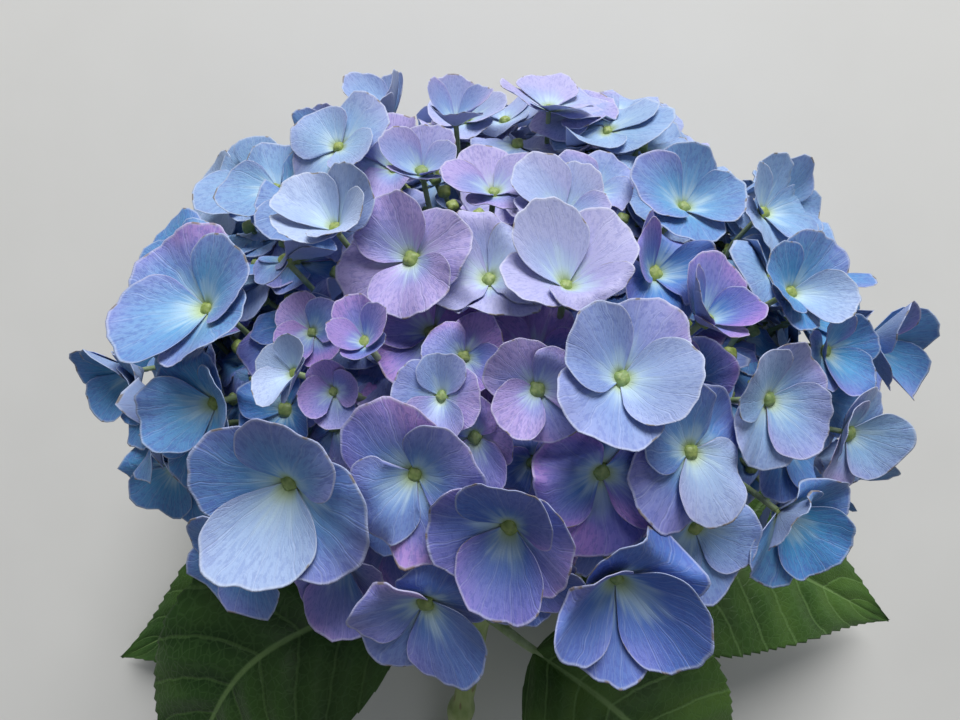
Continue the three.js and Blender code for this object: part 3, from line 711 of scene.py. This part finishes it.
def sepal_material():
    material, n, shader = new_material("sepal_satin")
    own_map = n.add("ShaderNodeUVMap", uv_map="sepal").outputs[0]
    tissue = n.add("ShaderNodeGroup", node_tree=tissue_group)
    n.join(own_map, tissue.inputs["Map"])
    n.join(n.number("chance"), tissue.inputs["Chance"])
    tissue = tissue.outputs
    where = n.object_place()
    place = n.add("ShaderNodeSeparateXYZ", {0: own_map}).outputs
    across, along = place[0], place[1]
    # Lilac comes in clouds, more on one side of a sepal and towards its tip, where azure fades
    outwards = n.minus(along, 0.5)
    one_side = n.times(n.minus(across, 0.5), 0.35)
    clouded = n.plus(n.number("lilac"), n.calc("MULTIPLY_ADD", n.noise(where, 55.0, 1.0), 0.9, -0.45))
    shift = n.plus(one_side, n.times(outwards, 0.65))
    lilac_here = n.smooth(n.plus(clouded, shift), 0.05, 1.0)
    # Azure: the florets' own hue at the sides, and beyond the crown painted sky light
    azure_here = n.minus(n.number("azure"), n.times(outwards, 0.95))
    pale_here = n.number("pale")
    base = n.blend(azure_here, CORNFLOWER, AZURE)
    base = n.blend(lilac_here, base, LILAC)
    base = n.blend(n.smooth(lilac_here, 0.65, 1.0, 0.0, 0.65), base, FLUSHED)
    # Pale: each floret's own paleness and its faded sepals, and beyond the crown a painted highlight of
    # the sky light
    base = n.blend(pale_here, base, PALE_BLUE)
    flecked = n.times(tissue["Flecks"], n.smooth(pale_here, 0.0, 0.8, 0.4, 0.18))
    base = n.blend(flecked, base, FLECK)
    base = n.tint(base, tissue["Veins"], 0.17, VEIN_TONE)
    base = n.tint(base, tissue["Throat"], 0.6, THROAT_TONE)
    base = n.blend(n.smooth(along, 0.0, 0.25, 0.85, 0.0), base, HEART_GREEN)
    base = n.tint(base, n.number("below"), 0.55, UNDERSIDE)
    # The pale rim: partly the margin's own paler tissue, partly a painted highlight where the light
    # catches the edge
    base = n.tint(base, tissue["Rim"], 0.34, RIM_TONE_AND_HIGHLIGHT)
    base = n.tint(base, tissue["Browned"], 0.75, BROWNED)
    roughness = n.smooth(tissue["Flecks"], 0.0, 1.0, 0.5, 0.62)
    grain = n.times(n.plus(n.noise(where, 2600.0, 0.0), tissue["Flecks"]), -0.4)
    n.coat(shader, base, roughness, n.minus(grain, tissue["Veins"]), 0.45, 0.00016)
    shader.inputs["Specular IOR Level"].default_value = 0.35
    shader.inputs["Sheen Weight"].default_value = 0.08
    shader.inputs["Sheen Roughness"].default_value = 0.4
    return material


sepal_satin = sepal_material()
detailed = (is_seen & (width > FINE_FROM_WIDTH))[sepal_floret]
sheets = ((sheet_template(*FINE_SHEET), detailed), (sheet_template(*PLAIN_SHEET), ~detailed))
for number, name in enumerate(CLUSTERS):
    parts, start = [], 0
    own = cluster[sepal_floret] == number
    for sheet, chosen in sheets:
        across, along, below, faces = sheet
        rows = np.nonzero(own & chosen)[0]
        if not len(rows):
            continue
        # The outermost row of faces is narrow, so that the rim stays crisp
        steps = np.unique(along)
        along = np.where(along > steps[-2] + 1e-6, 1.0, along / steps[-2] * (1 - RIM_BAND))
        corners = sheet_map(across, along, faces)
        places = sepal_points(rows, across, along, below)
        for index, row in enumerate(rows):
            one = sepal_floret[row]
            for higher, layers in zip(over[one], between[one]):
                clearance = TUCK_CLEARANCE[0 if inner[row] else 1] + TUCK_LAYER * layers
                # The underside goes lower, so that the sheet keeps its thickness
                places[index] = tucked(places[index], higher, clearance + below * SHEET_THICKNESS)
        parts.append(
            {
                "places": pressed(places),
                "faces": faces,
                "maps": {
                    "sepal": np.broadcast_to(corners, (len(rows),) + corners.shape[1:]),
                    "OFBake": bake_cells(across, along, below, faces, len(rows), int(own.sum()), start),
                },
                "numbers": {
                    "azure": sepal_azure[rows],
                    "lilac": sepal_lilac[rows],
                    "pale": sepal_pale[rows],
                    "chance": draw(rows, 46),
                    "below": np.broadcast_to(below[None], (len(rows), len(below))),
                },
            }
        )
        start += len(rows)
    sepals = joined_mesh("sepals_" + name, parts)
    sepals.data.materials.append(sepal_satin)
    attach(sepals, "root")
    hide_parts("florets_" + name)

# Eyes: the real flower in the middle of each floret, a closed four-lobed bud of four or five
# millimetres on a short cup. Yellow-green and faintly waxy. One lobed ball is laid on every floret.
EYE_RADIUS = (1.4, 2.0)
EYE_DEPTH = 0.8  # of its radius
EYE_RAISED = 0.55
EYE_FULL_WIDTH = 26  # of the floret whose eye has its full size
EYE_SCALES = (0.75, 1.1)
EYE_LOBES = 4
LOBE_DEPTH = 0.13
DIMPLE_DEPTH = 0.22
DIMPLE_WIDTH = 0.3
BUD_YELLOW = (0.26, 0.34, 0.07)
BUD_GREEN = (0.17, 0.27, 0.10)
BUD_MOTTLE = (0.46, 0.51, 0.20)
BUD_SEAM = (0.16, 0.22, 0.06)

bm = bmesh.new()
bmesh.ops.create_uvsphere(bm, u_segments=16, v_segments=8, radius=1.0)
bmesh.ops.triangulate(bm, faces=bm.faces[:])
ball, ball_faces = as_arrays(bm)


def eye_material():
    material, n, shader = new_material("bud_wax")
    mottled = n.smooth(n.noise(n.object_place(), 900.0, 3.0), 0.35, 0.65)
    base = n.blend(n.number("chance"), BUD_YELLOW, BUD_GREEN)
    base = n.tint(base, mottled, 0.35, BUD_MOTTLE)
    base = n.tint(base, n.number("seam"), 0.6, BUD_SEAM)
    n.coat(shader, base, n.smooth(mottled, 0.0, 1.0, 0.42, 0.55), mottled, 0.3, 0.0002)
    return material


bud_wax = eye_material()
azimuth = np.arctan2(ball[:, 1], ball[:, 0])
off_axis = np.hypot(ball[:, 0], ball[:, 1])
lobed = 1 + LOBE_DEPTH * np.cos(EYE_LOBES * azimuth) * off_axis
dimple = DIMPLE_DEPTH * np.exp(-((off_axis / DIMPLE_WIDTH) ** 2)) * (ball[:, 2] > 0)
seam = np.clip(-np.cos(EYE_LOBES * azimuth), 0, 1) ** 3 * (ball[:, 2] > -0.2)
for number, name in enumerate(CLUSTERS):
    rows = np.nonzero(cluster == number)[0]
    scale = np.clip(width[rows] / EYE_FULL_WIDTH, *EYE_SCALES)[:, None]
    radius = drawn_between(EYE_RADIUS, rows, 50)[:, None] * scale
    away = radius * lobed[None]
    raised = radius * (EYE_DEPTH * (ball[None, :, 2] - dimple[None]) + EYE_RAISED)
    points = over_florets(rows, away * ball[None, :, 0], away * ball[None, :, 1], raised)
    part = {
        "places": pressed(points),
        "faces": ball_faces,
        "numbers": {
            "chance": draw(rows, 51),
            "seam": np.broadcast_to(seam[None], (len(rows), len(seam))),
        },
    }
    eyes = joined_mesh("eyes_" + name, [part])
    eyes.data.materials.append(bud_wax)
    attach(eyes, "root")
    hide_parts("florets_" + name)

# Stalks: seven rays leave the fork, each ends in a hub from which sprigs fan out, and the florets'
# own thin stalks leave the sprigs. Smooth pale green. Bent tubes of one curve, joined by cluster.
RAY_SHARE = 0.36  # of the way from the fork to the dome
HUB_SHARE = 0.5
SPRIGS = 7
SPRIG_SHARE = 0.5
LOWEST_STALK = 0.75
STALK_POINTS = 7
RAY_RADII = (2.7, 2.0)  # at the fork and at its end
HUB_RADIUS = 2.3
SPRIG_RADII = (2.1, 1.3)
STALK_RADII = (0.95, 0.8)
STALK_BOW = 1.2  # how straight a floret's stalk comes up under it
STALK_UNDER_EYE = 0.4
STALK_DARK = (0.20, 0.29, 0.12)
STALK_LIGHT = (0.31, 0.40, 0.24)
STALK_SPECK = (0.26, 0.20, 0.24)


def dome_distance(way):
    reaches = np.array([HEAD_REACH, HEAD_REACH, HEAD_RISE])
    scaled = lambda v: np.array([v @ SIDE, v @ FRONT, v @ UP]) / reaches
    start, step = scaled(FORK - HEAD_CENTRE), scaled(way)
    a, b = step @ step, start @ step
    return (-b + np.sqrt(b * b - a * (start @ start - 1))) / a


def bent(start, end, leaving, arriving):
    """Points of a smooth bend from start to end, with the directions that it leaves and arrives in."""
    t = np.linspace(0, 1, STALK_POINTS)[:, None]
    reach = np.linalg.norm(end - start)
    ends = (2 * t**3 - 3 * t**2 + 1) * start + (-2 * t**3 + 3 * t**2) * end
    return ends + (t**3 - 2 * t**2 + t) * leaving * reach + (t**3 - t**2) * arriving * reach


def tubes(name, lines, press=True):
    """A mesh of closed tubes, each along a line of points with a radius at both ends."""
    data = bpy.data.curves.new(name, "CURVE")
    data.dimensions = "3D"
    data.bevel_depth = MM
    data.bevel_resolution = 1
    data.use_fill_caps = True
    for points, thick, thin in lines:
        line = data.splines.new("POLY")
        line.points.add(len(points) - 1)
        places = (pressed(points) if press else points) * MM
        line.points.foreach_set("co", np.hstack([places, np.ones((len(points), 1))]).ravel())
        line.points.foreach_set("radius", np.linspace(thick, thin, len(points)))
    holder = placed(name + "_line", data)
    ready = holder.evaluated_get(bpy.context.evaluated_depsgraph_get())
    mesh = bpy.data.meshes.new_from_object(ready)
    bpy.data.objects.remove(holder)
    bpy.data.curves.remove(data)
    bm = bmesh.new()
    bm.from_mesh(mesh)
    bmesh.ops.remove_doubles(bm, verts=bm.verts[:], dist=1e-6)
    bmesh.ops.recalc_face_normals(bm, faces=bm.faces[:])
    bm.to_mesh(mesh)
    bm.free()
    mesh.polygons.foreach_set("use_smooth", np.ones(len(mesh.polygons), dtype=bool))
    mesh.name = name
    return placed(name, mesh)


def stalk_material():
    material, n, shader = new_material("stalk_skin")
    where = n.object_place()
    streaked = n.smooth(n.noise(where, 260.0, 3.0), 0.35, 0.65)
    specks = n.smooth(n.noise(where, 1500.0, 1.0), 0.64, 0.72, 0.0, 0.5)
    base = n.blend(specks, n.blend(streaked, STALK_DARK, STALK_LIGHT), STALK_SPECK)
    n.coat(shader, base, n.smooth(streaked, 0.0, 1.0, 0.45, 0.6), streaked, 0.25, 0.0002)
    return material


stalk_skin = stalk_material()
rays = []
for number, name in enumerate(CLUSTERS):
    way = cluster_way[number]
    far = dome_distance(way)
    hub = FORK + way * far * HUB_SHARE
    ray_end = FORK + way * far * RAY_SHARE
    lines = [(np.linspace(ray_end, hub, 3), RAY_RADII[1], HUB_RADIUS)]
    rays.append((np.linspace(FORK + way * 4, ray_end, 6), *RAY_RADII))
    own = np.nonzero(cluster == number)[0]
    heads = [own[0]]
    while len(heads) < SPRIGS:
        heads.append(own[np.argmax(distances(middle[own], middle[heads]).min(axis=1))])
    group = np.argmin(distances(middle[own], middle[heads]), axis=1)
    for sprig in range(SPRIGS):
        mine = own[group == sprig]
        knot = hub + (middle[mine].mean(axis=0) - hub) * SPRIG_SHARE
        onward = unit(knot - hub)
        lines.append((bent(hub - onward, knot, way, onward), *SPRIG_RADII))
        aside = np.argsort([-(unit(middle[one] - knot) @ -onward) for one in mine])
        for rank, one in enumerate(mine[aside]):
            root = knot + (hub - knot) * LOWEST_STALK * (1 - (rank + 1) / len(mine))
            foot = middle[one] - lean[one] * STALK_UNDER_EYE
            lines.append((bent(root, foot, onward, lean[one] * STALK_BOW), *STALK_RADII))
    stalks = tubes("stalks_" + name, lines)
    stalks.data.materials.append(stalk_skin)
    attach(stalks, "root")
    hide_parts("florets_" + name)
ray_tubes = tubes("rays", rays, press=False)
ray_tubes.data.materials.append(stalk_skin)
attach(ray_tubes, "root")
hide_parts(*["ray_" + name for name in CLUSTERS])

# Stem: a green shoot that lies from its cut end up to the fork, with three swollen leaf joints and
# a knob where the rays leave. Smooth skin with corky specks. A sheet of faces wrapped round its line.
STEM_TOP_RADIUS = 4.2
STEM_BASE_RADIUS = 5.2
UPPER_NODE = 34
LOWER_NODE = 66
BARE_NODE = 128
NODE_SWELL = 1.7
NODE_HALF_LENGTH = 9
KNOB_RADIUS = 7.5
STEM_LEAN = 26
STEM_BEND = 1.4
STEM_SIDES = 40
STEM_ROWS = 220
CUT_RIND = 1.1
CUT_WOOD = 1.2
PITH_SUNK = 0.25
JOINT_TURNS = ((UPPER_NODE, 0.3), (LOWER_NODE, 0.3 + np.pi / 2), (BARE_NODE, 0.9))
LEDGE = (0.9, -3, 2.4)  # of a joint's two swellings: height, place along the stem, length
GROOVE = (0.35, 2.5, 1.2)
STEM_DARK = (0.20, 0.30, 0.085)
STEM_LIGHT = (0.33, 0.42, 0.14)
STEM_STREAK = (0.42, 0.50, 0.24)
CORK_BROWN = (0.22, 0.14, 0.09)
WOOD_TONES = ((0.48, 0.52, 0.26), (0.34, 0.40, 0.16))
PITH_TONES = ((0.78, 0.76, 0.62), (0.62, 0.60, 0.44))
stem_length = (FORK[2] - STEM_BASE_RADIUS * UP[1]) / UP[2]


def stem_place(below):
    share = np.clip(below, 0, None) / stem_length
    return FORK - np.multiply.outer(below, UP) - np.multiply.outer(STEM_LEAN * share**STEM_BEND, SIDE)


def stem_radius(below):
    radius = STEM_TOP_RADIUS + (STEM_BASE_RADIUS - STEM_TOP_RADIUS) * np.clip(below / stem_length, 0, 1)
    for joint in (UPPER_NODE, LOWER_NODE, BARE_NODE):
        off = np.clip(np.abs(below - joint) / NODE_HALF_LENGTH, 0, 1)
        radius = radius + NODE_SWELL * np.cos(off * np.pi / 2) ** 2
    knob = np.sqrt(np.clip(KNOB_RADIUS**2 - below**2, 0, None))
    return np.where(below < 0, knob, np.maximum(radius, knob))


bm = bmesh.new()
bmesh.ops.create_grid(bm, x_segments=STEM_SIDES, y_segments=STEM_ROWS, size=1.0)
flat = np.array([vertex.co[:] for vertex in bm.verts])
around = flat[:, 0] * np.pi
below_fork = stem_length - (flat[:, 1] + 1) / 2 * (stem_length + KNOB_RADIUS - 0.05)
line = stem_place(below_fork)
along_line = unit(stem_place(below_fork - 0.5) - stem_place(below_fork + 0.5))
out_x = unit(SIDE - (along_line @ SIDE)[:, None] * along_line)
out_y = np.cross(along_line, out_x)
radius = stem_radius(below_fork)
for joint, turned in JOINT_TURNS:
    pair = np.clip(np.cos(2 * (around - turned)), 0, None) ** 4
    for (height, spot, length), way in ((LEDGE, 1), (GROOVE, -1)):
        radius = radius + way * height * pair * np.exp(-(((below_fork - joint - spot) / length) ** 2))
radius = radius * (1 + 0.012 * np.sin(6 * around) + 0.01 * np.sin(below_fork / 5 + 2 * around))
wrapped = line + (radius * np.cos(around))[:, None] * out_x + (radius * np.sin(around))[:, None] * out_y
for vertex, point in zip(bm.verts, wrapped * MM):
    vertex.co = point
bmesh.ops.remove_doubles(bm, verts=bm.verts[:], dist=2e-5)
edges = [edge for edge in bm.edges if edge.is_boundary]
bmesh.ops.holes_fill(bm, edges=edges, sides=0)
bmesh.ops.recalc_face_normals(bm, faces=bm.faces[:])
ends = [face for face in bm.faces if len(face.verts) > 8]
cut = min(ends, key=lambda face: face.calc_center_median().y)
bmesh.ops.inset_region(bm, faces=[cut], thickness=CUT_RIND * MM, depth=0.0)
cut.material_index = 1
inside = bmesh.ops.inset_region(bm, faces=[cut], thickness=CUT_WOOD * MM, depth=-PITH_SUNK * MM)
cut.material_index = 2
for face in inside["faces"]:
    face.material_index = 1
for face in bm.faces:
    face.smooth = face.material_index == 0 and len(face.verts) <= 4
stem_mesh = bpy.data.meshes.new("stem_shoot")
bm.to_mesh(stem_mesh)
bm.free()
stem = placed("stem_shoot", stem_mesh)


def stem_material():
    material, n, shader = new_material("stem_skin")
    where = n.object_place()
    turned = n.add("ShaderNodeMapping", {"Vector": where, "Rotation": (-float(STEM_SLOPE), 0, 0)})
    drawn_out = n.add("ShaderNodeMapping", {"Vector": turned.outputs[0], "Scale": (1.0, 0.16, 1.0)})
    stretched = drawn_out.outputs[0]
    streaks = n.smooth(n.noise(stretched, 700.0, 4.0), 0.3, 0.7)
    clouds = n.smooth(n.noise(where, 45.0, 3.0), 0.35, 0.65)
    base = n.tint(n.blend(clouds, STEM_DARK, STEM_LIGHT), streaks, 0.35, STEM_STREAK)
    corky = n.add("ShaderNodeTexVoronoi", {"Vector": stretched, "Scale": 330.0, "Randomness": 1.0})
    specks = n.smooth(corky.outputs["Distance"], 0.16, 0.3, 1.0, 0.0)
    specks = n.times(specks, n.smooth(n.noise(where, 150.0, 1.0), 0.45, 0.6))
    base = n.tint(base, specks, 0.7, CORK_BROWN)
    height = n.plus(n.times(streaks, 0.4), specks)
    n.coat(shader, base, n.smooth(specks, 0.0, 1.0, 0.42, 0.7), height, 0.4, 0.0003)
    return material


def cut_material(name, tones):
    material, n, shader = new_material(name)
    pores = n.smooth(n.noise(n.object_place(), 1800.0, 3.0), 0.35, 0.65)
    n.coat(shader, n.blend(pores, *tones), n.smooth(pores, 0.0, 1.0, 0.6, 0.8), pores, 0.4, 0.0003)
    return material


stem.data.materials.append(stem_material())
stem.data.materials.append(cut_material("cut_wood", WOOD_TONES))
stem.data.materials.append(cut_material("cut_pith", PITH_TONES))
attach(stem, "root")
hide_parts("stem")

# Leaves: two pairs of broad, toothed leaves on the stem's joints. Leathery green blades, quilted
# between sunken veins, paler below. A thin closed sheet is laid along each leaf's bent midline.
LEAF_LOW = 0.7
LEAF_FULL = 0.85
LEAF_POINT = 0.6
LEAF_FOLD = 0.2
LEAF_ARCH = 0.6
LEAF_FACE = unit(np.array([0.0, 0.35, 1.0]))
LEAF_SHEET = (40, 130)
LEAF_TEETH = 26
TOOTH_REACH = 1.2
TOOTH_FORWARD = 0.9
QUILT_RISE = 1.5
EDGE_WAVE = 1.3
MIDRIB_SUNK = 0.6
MIDRIB_WIDTH = 0.03
SIDE_VEINS = 9
VEIN_FORWARD = 0.15  # of the blade's length, how far a side vein runs on towards the tip
VEIN_BEND = 1.25
PETIOLE_SHARE = 0.2
PETIOLE_RADIUS = 2.3
PETIOLE_END = 1.25  # of its share of the line, where it ends inside the blade
PETIOLE_SUNK = 3.2  # how far it has gone down there
RIB_START = 1.05  # of the stalk's share
RIB_END = 0.9  # of the whole line
RIB_BELOW = (2.3, 1.3)  # the blade's middle, at its start and its end
PETIOLE_TAPER = (1.15, 0.65)  # of the stalk's radius
RIB_TAPER = 0.62
RIB_TIP_RADIUS = 0.35
LEAF_THICKNESS = 0.55
# LEAF_DARK is the dark end of the leaves' mottle, and the painted shade of a leaf with little painted
# light
LEAF_DARK = (0.009, 0.036, 0.005)
LEAF_GREEN = (0.080, 0.160, 0.026)
QUILT_GREEN = (0.055, 0.135, 0.03)
NET_GREEN = (0.08, 0.17, 0.05)
VEIN_GREEN = (0.12, 0.22, 0.07)
MIDRIB_GREEN = (0.17, 0.28, 0.10)
LEAF_UNDERSIDE = (0.30, 0.42, 0.24)
# Of each leaf: its joint, how much painted light its green gets (a low share is painted shade, darker and
# with fainter veins), its width, and its midline's places from the joint
LEAVES = {
    "front_left": (UPPER_NODE, 0.3, 80, [(-42, -13, 16), (-92, -35, 28), (-134, -108, -4)]),
    "front_right": (LOWER_NODE, 0.9, 88, [(20, -8, 21), (54, -28, 35), (106, -94, 3)]),
    "back_right": (UPPER_NODE, 0.7, 86, [(28, -8, -12), (112, -6, -18), (196, -46, -48)]),
    "back_left": (LOWER_NODE, 0.5, 84, [(-46, -2, -19), (-106, -4, -27), (-182, -40, -50)]),
}


def smooth_line(points):
    """Points close together along a centripetal curve through the given points."""
    points = np.vstack([2 * points[0] - points[1], points, 2 * points[-1] - points[-2]])
    t = np.linspace(0, 1, 60, endpoint=False)[:, None]
    pieces = []
    for p0, p1, p2, p3 in zip(points, points[1:], points[2:], points[3:]):
        d0, d1, d2 = (np.linalg.norm(b - a) ** 0.5 for a, b in ((p0, p1), (p1, p2), (p2, p3)))
        leave = d1 * ((p1 - p0) / d0 - (p2 - p0) / (d0 + d1) + (p2 - p1) / d1)
        arrive = d1 * ((p2 - p1) / d1 - (p3 - p1) / (d1 + d2) + (p3 - p2) / d2)
        bends = (-3 * p1 + 3 * p2 - 2 * leave - arrive) * t**2 + (2 * p1 - 2 * p2 + leave + arrive) * t**3
        pieces.append(p1 + leave * t + bends)
    return np.vstack(pieces + [points[-2:-1]])


def point_at(line, share):
    """The places at shares of a line's length."""
    steps = np.concatenate([[0], np.cumsum(np.linalg.norm(np.diff(line, axis=0), axis=1))])
    wanted = np.clip(share, 0, 1) * steps[-1]
    return np.stack([np.interp(wanted, steps, line[:, axis]) for axis in range(3)], axis=-1)


def leaf_veins():
    """Where the blade's midrib, side veins and net are, and how it swells between them."""
    n, given, out = new_group(
        "leaf_veins", [("Map", "NodeSocketVector")], ("Midrib", "Side veins", "Net", "Quilt")
    )
    place = n.add("ShaderNodeSeparateXYZ", {0: given["Map"]}).outputs
    across = n.calc("ABSOLUTE", n.times(n.minus(place[0], 0.5), 2.0))
    along = place[1]
    n.join(n.smooth(across, 0.012, 0.04, 1.0, 0.0), out["Midrib"])
    wobble = n.times(n.minus(n.noise(given["Map"], 9.0), 0.5), 0.02)
    forward = n.times(n.calc("POWER", across, VEIN_BEND), VEIN_FORWARD)
    order = n.plus(n.minus(along, forward), wobble)
    phase = n.calc("FRACT", n.times(order, float(SIDE_VEINS)))
    off = n.calc("ABSOLUTE", n.minus(phase, 0.5))
    n.join(n.smooth(off, 0.015, 0.06, 1.0, 0.0), out["Side veins"])
    n.join(n.calc("POWER", n.smooth(off, 0.0, 0.5), 0.7), out["Quilt"])
    drawn_out = n.add("ShaderNodeMapping", {"Vector": given["Map"], "Scale": (26.0, 44.0, 1.0)})
    inputs = {"Vector": drawn_out.outputs[0], "Scale": 1.0}
    cells = n.add("ShaderNodeTexVoronoi", inputs, feature="DISTANCE_TO_EDGE")
    n.join(n.smooth(cells.outputs["Distance"], 0.01, 0.12, 1.0, 0.0), out["Net"])
    return n.tree


leaf_vein_group = leaf_veins()


def leaf_material():
    material, n, shader = new_material("leaf_blade")
    veins = n.add("ShaderNodeGroup", node_tree=leaf_vein_group)
    n.join(n.add("ShaderNodeUVMap", uv_map="blade").outputs[0], veins.inputs["Map"])
    veins = veins.outputs
    clouds = n.smooth(n.noise(n.object_place(), 30.0, 3.0), 0.3, 0.7)
    # Painted shade: the less painted light a leaf has, the nearer its green stays to LEAF_DARK
    clouds = n.times(clouds, n.number("fresh"))
    base = n.blend(clouds, LEAF_DARK, LEAF_GREEN)
    base = n.tint(base, veins["Quilt"], 0.3, QUILT_GREEN)
    base = n.tint(base, veins["Net"], 0.22, NET_GREEN)
    # Side veins are fainter on a leaf with less painted light: painted shade
    clear = n.calc("MULTIPLY_ADD", n.number("fresh"), 0.5, 0.15)
    base = n.tint(base, veins["Side veins"], clear, VEIN_GREEN)
    base = n.tint(base, veins["Midrib"], 0.7, MIDRIB_GREEN)
    base = n.tint(base, n.number("below"), 0.6, LEAF_UNDERSIDE)
    sunk = n.calc("MAXIMUM", veins["Midrib"], veins["Side veins"])
    height = n.minus(veins["Quilt"], n.times(sunk, 0.7))
    height = n.minus(height, n.times(veins["Net"], 0.35))
    n.coat(shader, base, n.smooth(clouds, 0.0, 1.0, 0.45, 0.55), height, 0.45, 0.0006)
    shader.inputs["Specular IOR Level"].default_value = 0.3
    return material


leaf_blade = leaf_material()
across, along, below, faces = sheet_template(*LEAF_SHEET)
for number, (name, (joint, fresh, leaf_width, offsets)) in enumerate(LEAVES.items()):
    joint_place = stem_place(float(joint))
    midline = smooth_line(np.vstack([joint_place, joint_place + np.array(offsets, dtype=float)]))
    at = PETIOLE_SHARE + (1 - PETIOLE_SHARE) * along
    centre = point_at(midline, at)
    ahead = np.minimum(at + 0.004, 1)
    tangent = unit(point_at(midline, ahead) - point_at(midline, ahead - 0.008))
    outward = unit(np.cross(LEAF_FACE, tangent))
    normal = unit(np.cross(tangent, outward))
    share = np.clip(along, 1e-4, 1)
    half = leaf_width / 2 * np.abs(np.sin(np.pi * share**LEAF_LOW)) ** LEAF_FULL
    half = np.maximum(half * (1 - LEAF_POINT * share**4), 0.5)
    saw = (along * LEAF_TEETH + 0.35 * np.sin(along * 19 + number)) % 1
    tooth = TOOTH_REACH * (saw - 0.35) * np.abs(across) ** 10 * np.clip(half / 14, 0, 1)
    order = along - VEIN_FORWARD * np.abs(across) ** VEIN_BEND
    off = np.abs((order * SIDE_VEINS) % 1 - 0.5)
    quilt = QUILT_RISE * np.clip(half / 30, 0, 1) * (off * 2) ** 0.8
    quilt = quilt * np.clip(np.abs(across) * 5, 0, 1) * (1 - np.abs(across) ** 4)
    arch = LEAF_FOLD * half * (np.abs(across) - LEAF_ARCH * across**2)
    wave = EDGE_WAVE * np.sin(along * 15 + 2.0 * np.sign(across) + number) * np.abs(across) ** 3
    rise = arch + quilt + wave - MIDRIB_SUNK * np.exp(-((across / MIDRIB_WIDTH) ** 2))
    rise = rise - below * LEAF_THICKNESS
    # The sheet's across runs to the left of its along, seen from above, so that its faces point out
    points = centre - (across * half + np.sign(across) * tooth)[:, None] * outward
    points = points + rise[:, None] * normal + (TOOTH_FORWARD * tooth * np.abs(across))[:, None] * tangent
    corners = sheet_map(across, along, faces)
    part = {
        "places": pressed(points)[None],
        "faces": faces,
        "maps": {"blade": corners, "OFBake": bake_cells(across, along, below, faces, 1, 1, 0)},
        "numbers": {"below": below[None], "fresh": np.array([fresh])},
    }
    leaf = joined_mesh("blade_" + name, [part])
    leaf.data.materials.append(leaf_blade)
    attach(leaf, "root")
    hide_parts("leaf_" + name)
    stalk_line = point_at(midline, np.linspace(0, PETIOLE_END * PETIOLE_SHARE, 16))
    stalk_line[:, 2] -= PETIOLE_SUNK * np.linspace(0, 1, 16) ** 6
    thick, thin = PETIOLE_TAPER
    lines = [(stalk_line, PETIOLE_RADIUS * thick, PETIOLE_RADIUS * thin)]
    rib_line = pressed(point_at(midline, np.linspace(RIB_START * PETIOLE_SHARE, RIB_END, 40)))
    rib_line = rib_line + np.linspace(*RIB_BELOW, 40)[:, None] * np.array([0.0, 0.0, -1.0])
    lines.append((rib_line, PETIOLE_RADIUS * RIB_TAPER, RIB_TIP_RADIUS))
    petiole = tubes("petiole_" + name, lines, press=False)
    petiole.data.materials.append(stalk_skin)
    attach(petiole, "root")
    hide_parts("leaf_" + name)

# Floor, light and camera: a plain pale floor, a large soft light from beyond the crown as the sky
# is, a weaker one from above, and the camera over the head, at the angle of the picture.
CAMERA_OFFSET = np.array([-6.5, 1.0, 267.0])
LENS = 27
SENSOR_WIDTH = 36
FLOOR_HALF = 1.6
FLOOR_BELOW = 0.0004  # the floor's own clearance, in metres
FLOOR_TONES = ((0.60, 0.60, 0.59), (0.66, 0.66, 0.65))
LIGHT_SIZE = 1.8
SKY_PLACE = (0.3, 2.2, 1.65)
SKY_WATTS = 95
SKY_TONE = (1.0, 0.99, 0.97)
FILL_PLACE = (0.6, -0.6, 2.0)
FILL_WATTS = 4
FILL_TONE = (0.95, 0.97, 1.0)
ROOM_TONE = (0.89, 0.94, 0.98, 1.0)
ROOM_LIGHT = 0.16
ROOM_SEEN = 0.6

bm = bmesh.new()
bmesh.ops.create_grid(bm, x_segments=1, y_segments=1, size=FLOOR_HALF)
bmesh.ops.translate(bm, verts=bm.verts[:], vec=(0, 0, -FLOOR_BELOW))
floor_mesh = bpy.data.meshes.new("floor")
bm.to_mesh(floor_mesh)
bm.free()
floor = placed("floor", floor_mesh)
floor_paint, n, shader = new_material("floor_paint")
mottle = n.noise(n.object_place(), 14.0, 3.0)
n.join(n.blend(mottle, *FLOOR_TONES), shader.inputs["Base Color"])
n.join(n.smooth(mottle, 0.3, 0.7, 0.7, 0.8), shader.inputs["Roughness"])
floor.data.materials.append(floor_paint)


def soft_light(name, where, watts, tone):
    """A round light that faces the head and isn't seen itself."""
    data = bpy.data.lights.new(name, "AREA")
    data.shape = "DISK"
    data.size = LIGHT_SIZE
    data.energy = watts
    data.color = tone
    light = placed(name, data)
    light.location = where
    way = Vector(HEAD_CENTRE * MM) - Vector(where)
    light.rotation_euler = way.to_track_quat("-Z", "Y").to_euler()
    light.visible_camera = False


soft_light("sky_light", SKY_PLACE, SKY_WATTS, SKY_TONE)
soft_light("fill_light", FILL_PLACE, FILL_WATTS, FILL_TONE)
world = bpy.data.worlds.new("studio")
world.use_nodes = True
n = Paint(world.node_tree)
backdrop = n.tree.nodes["Background"]
backdrop.inputs["Color"].default_value = ROOM_TONE
seen_directly = n.add("ShaderNodeLightPath").outputs["Is Camera Ray"]
n.join(n.smooth(seen_directly, 0.0, 1.0, ROOM_LIGHT, ROOM_SEEN), backdrop.inputs["Strength"])
bpy.context.scene.world = world

camera_data = bpy.data.cameras.new("camera")
camera_data.lens = LENS
camera_data.sensor_width = SENSOR_WIDTH
camera_data.clip_start = 0.01
camera = placed("camera", camera_data)
camera.location = tuple((HEAD_CENTRE + CAMERA_OFFSET) * MM)
camera.rotation_euler = (0, 0, 0)
bpy.context.scene.camera = camera
bpy.context.scene.view_settings.view_transform = "Standard"
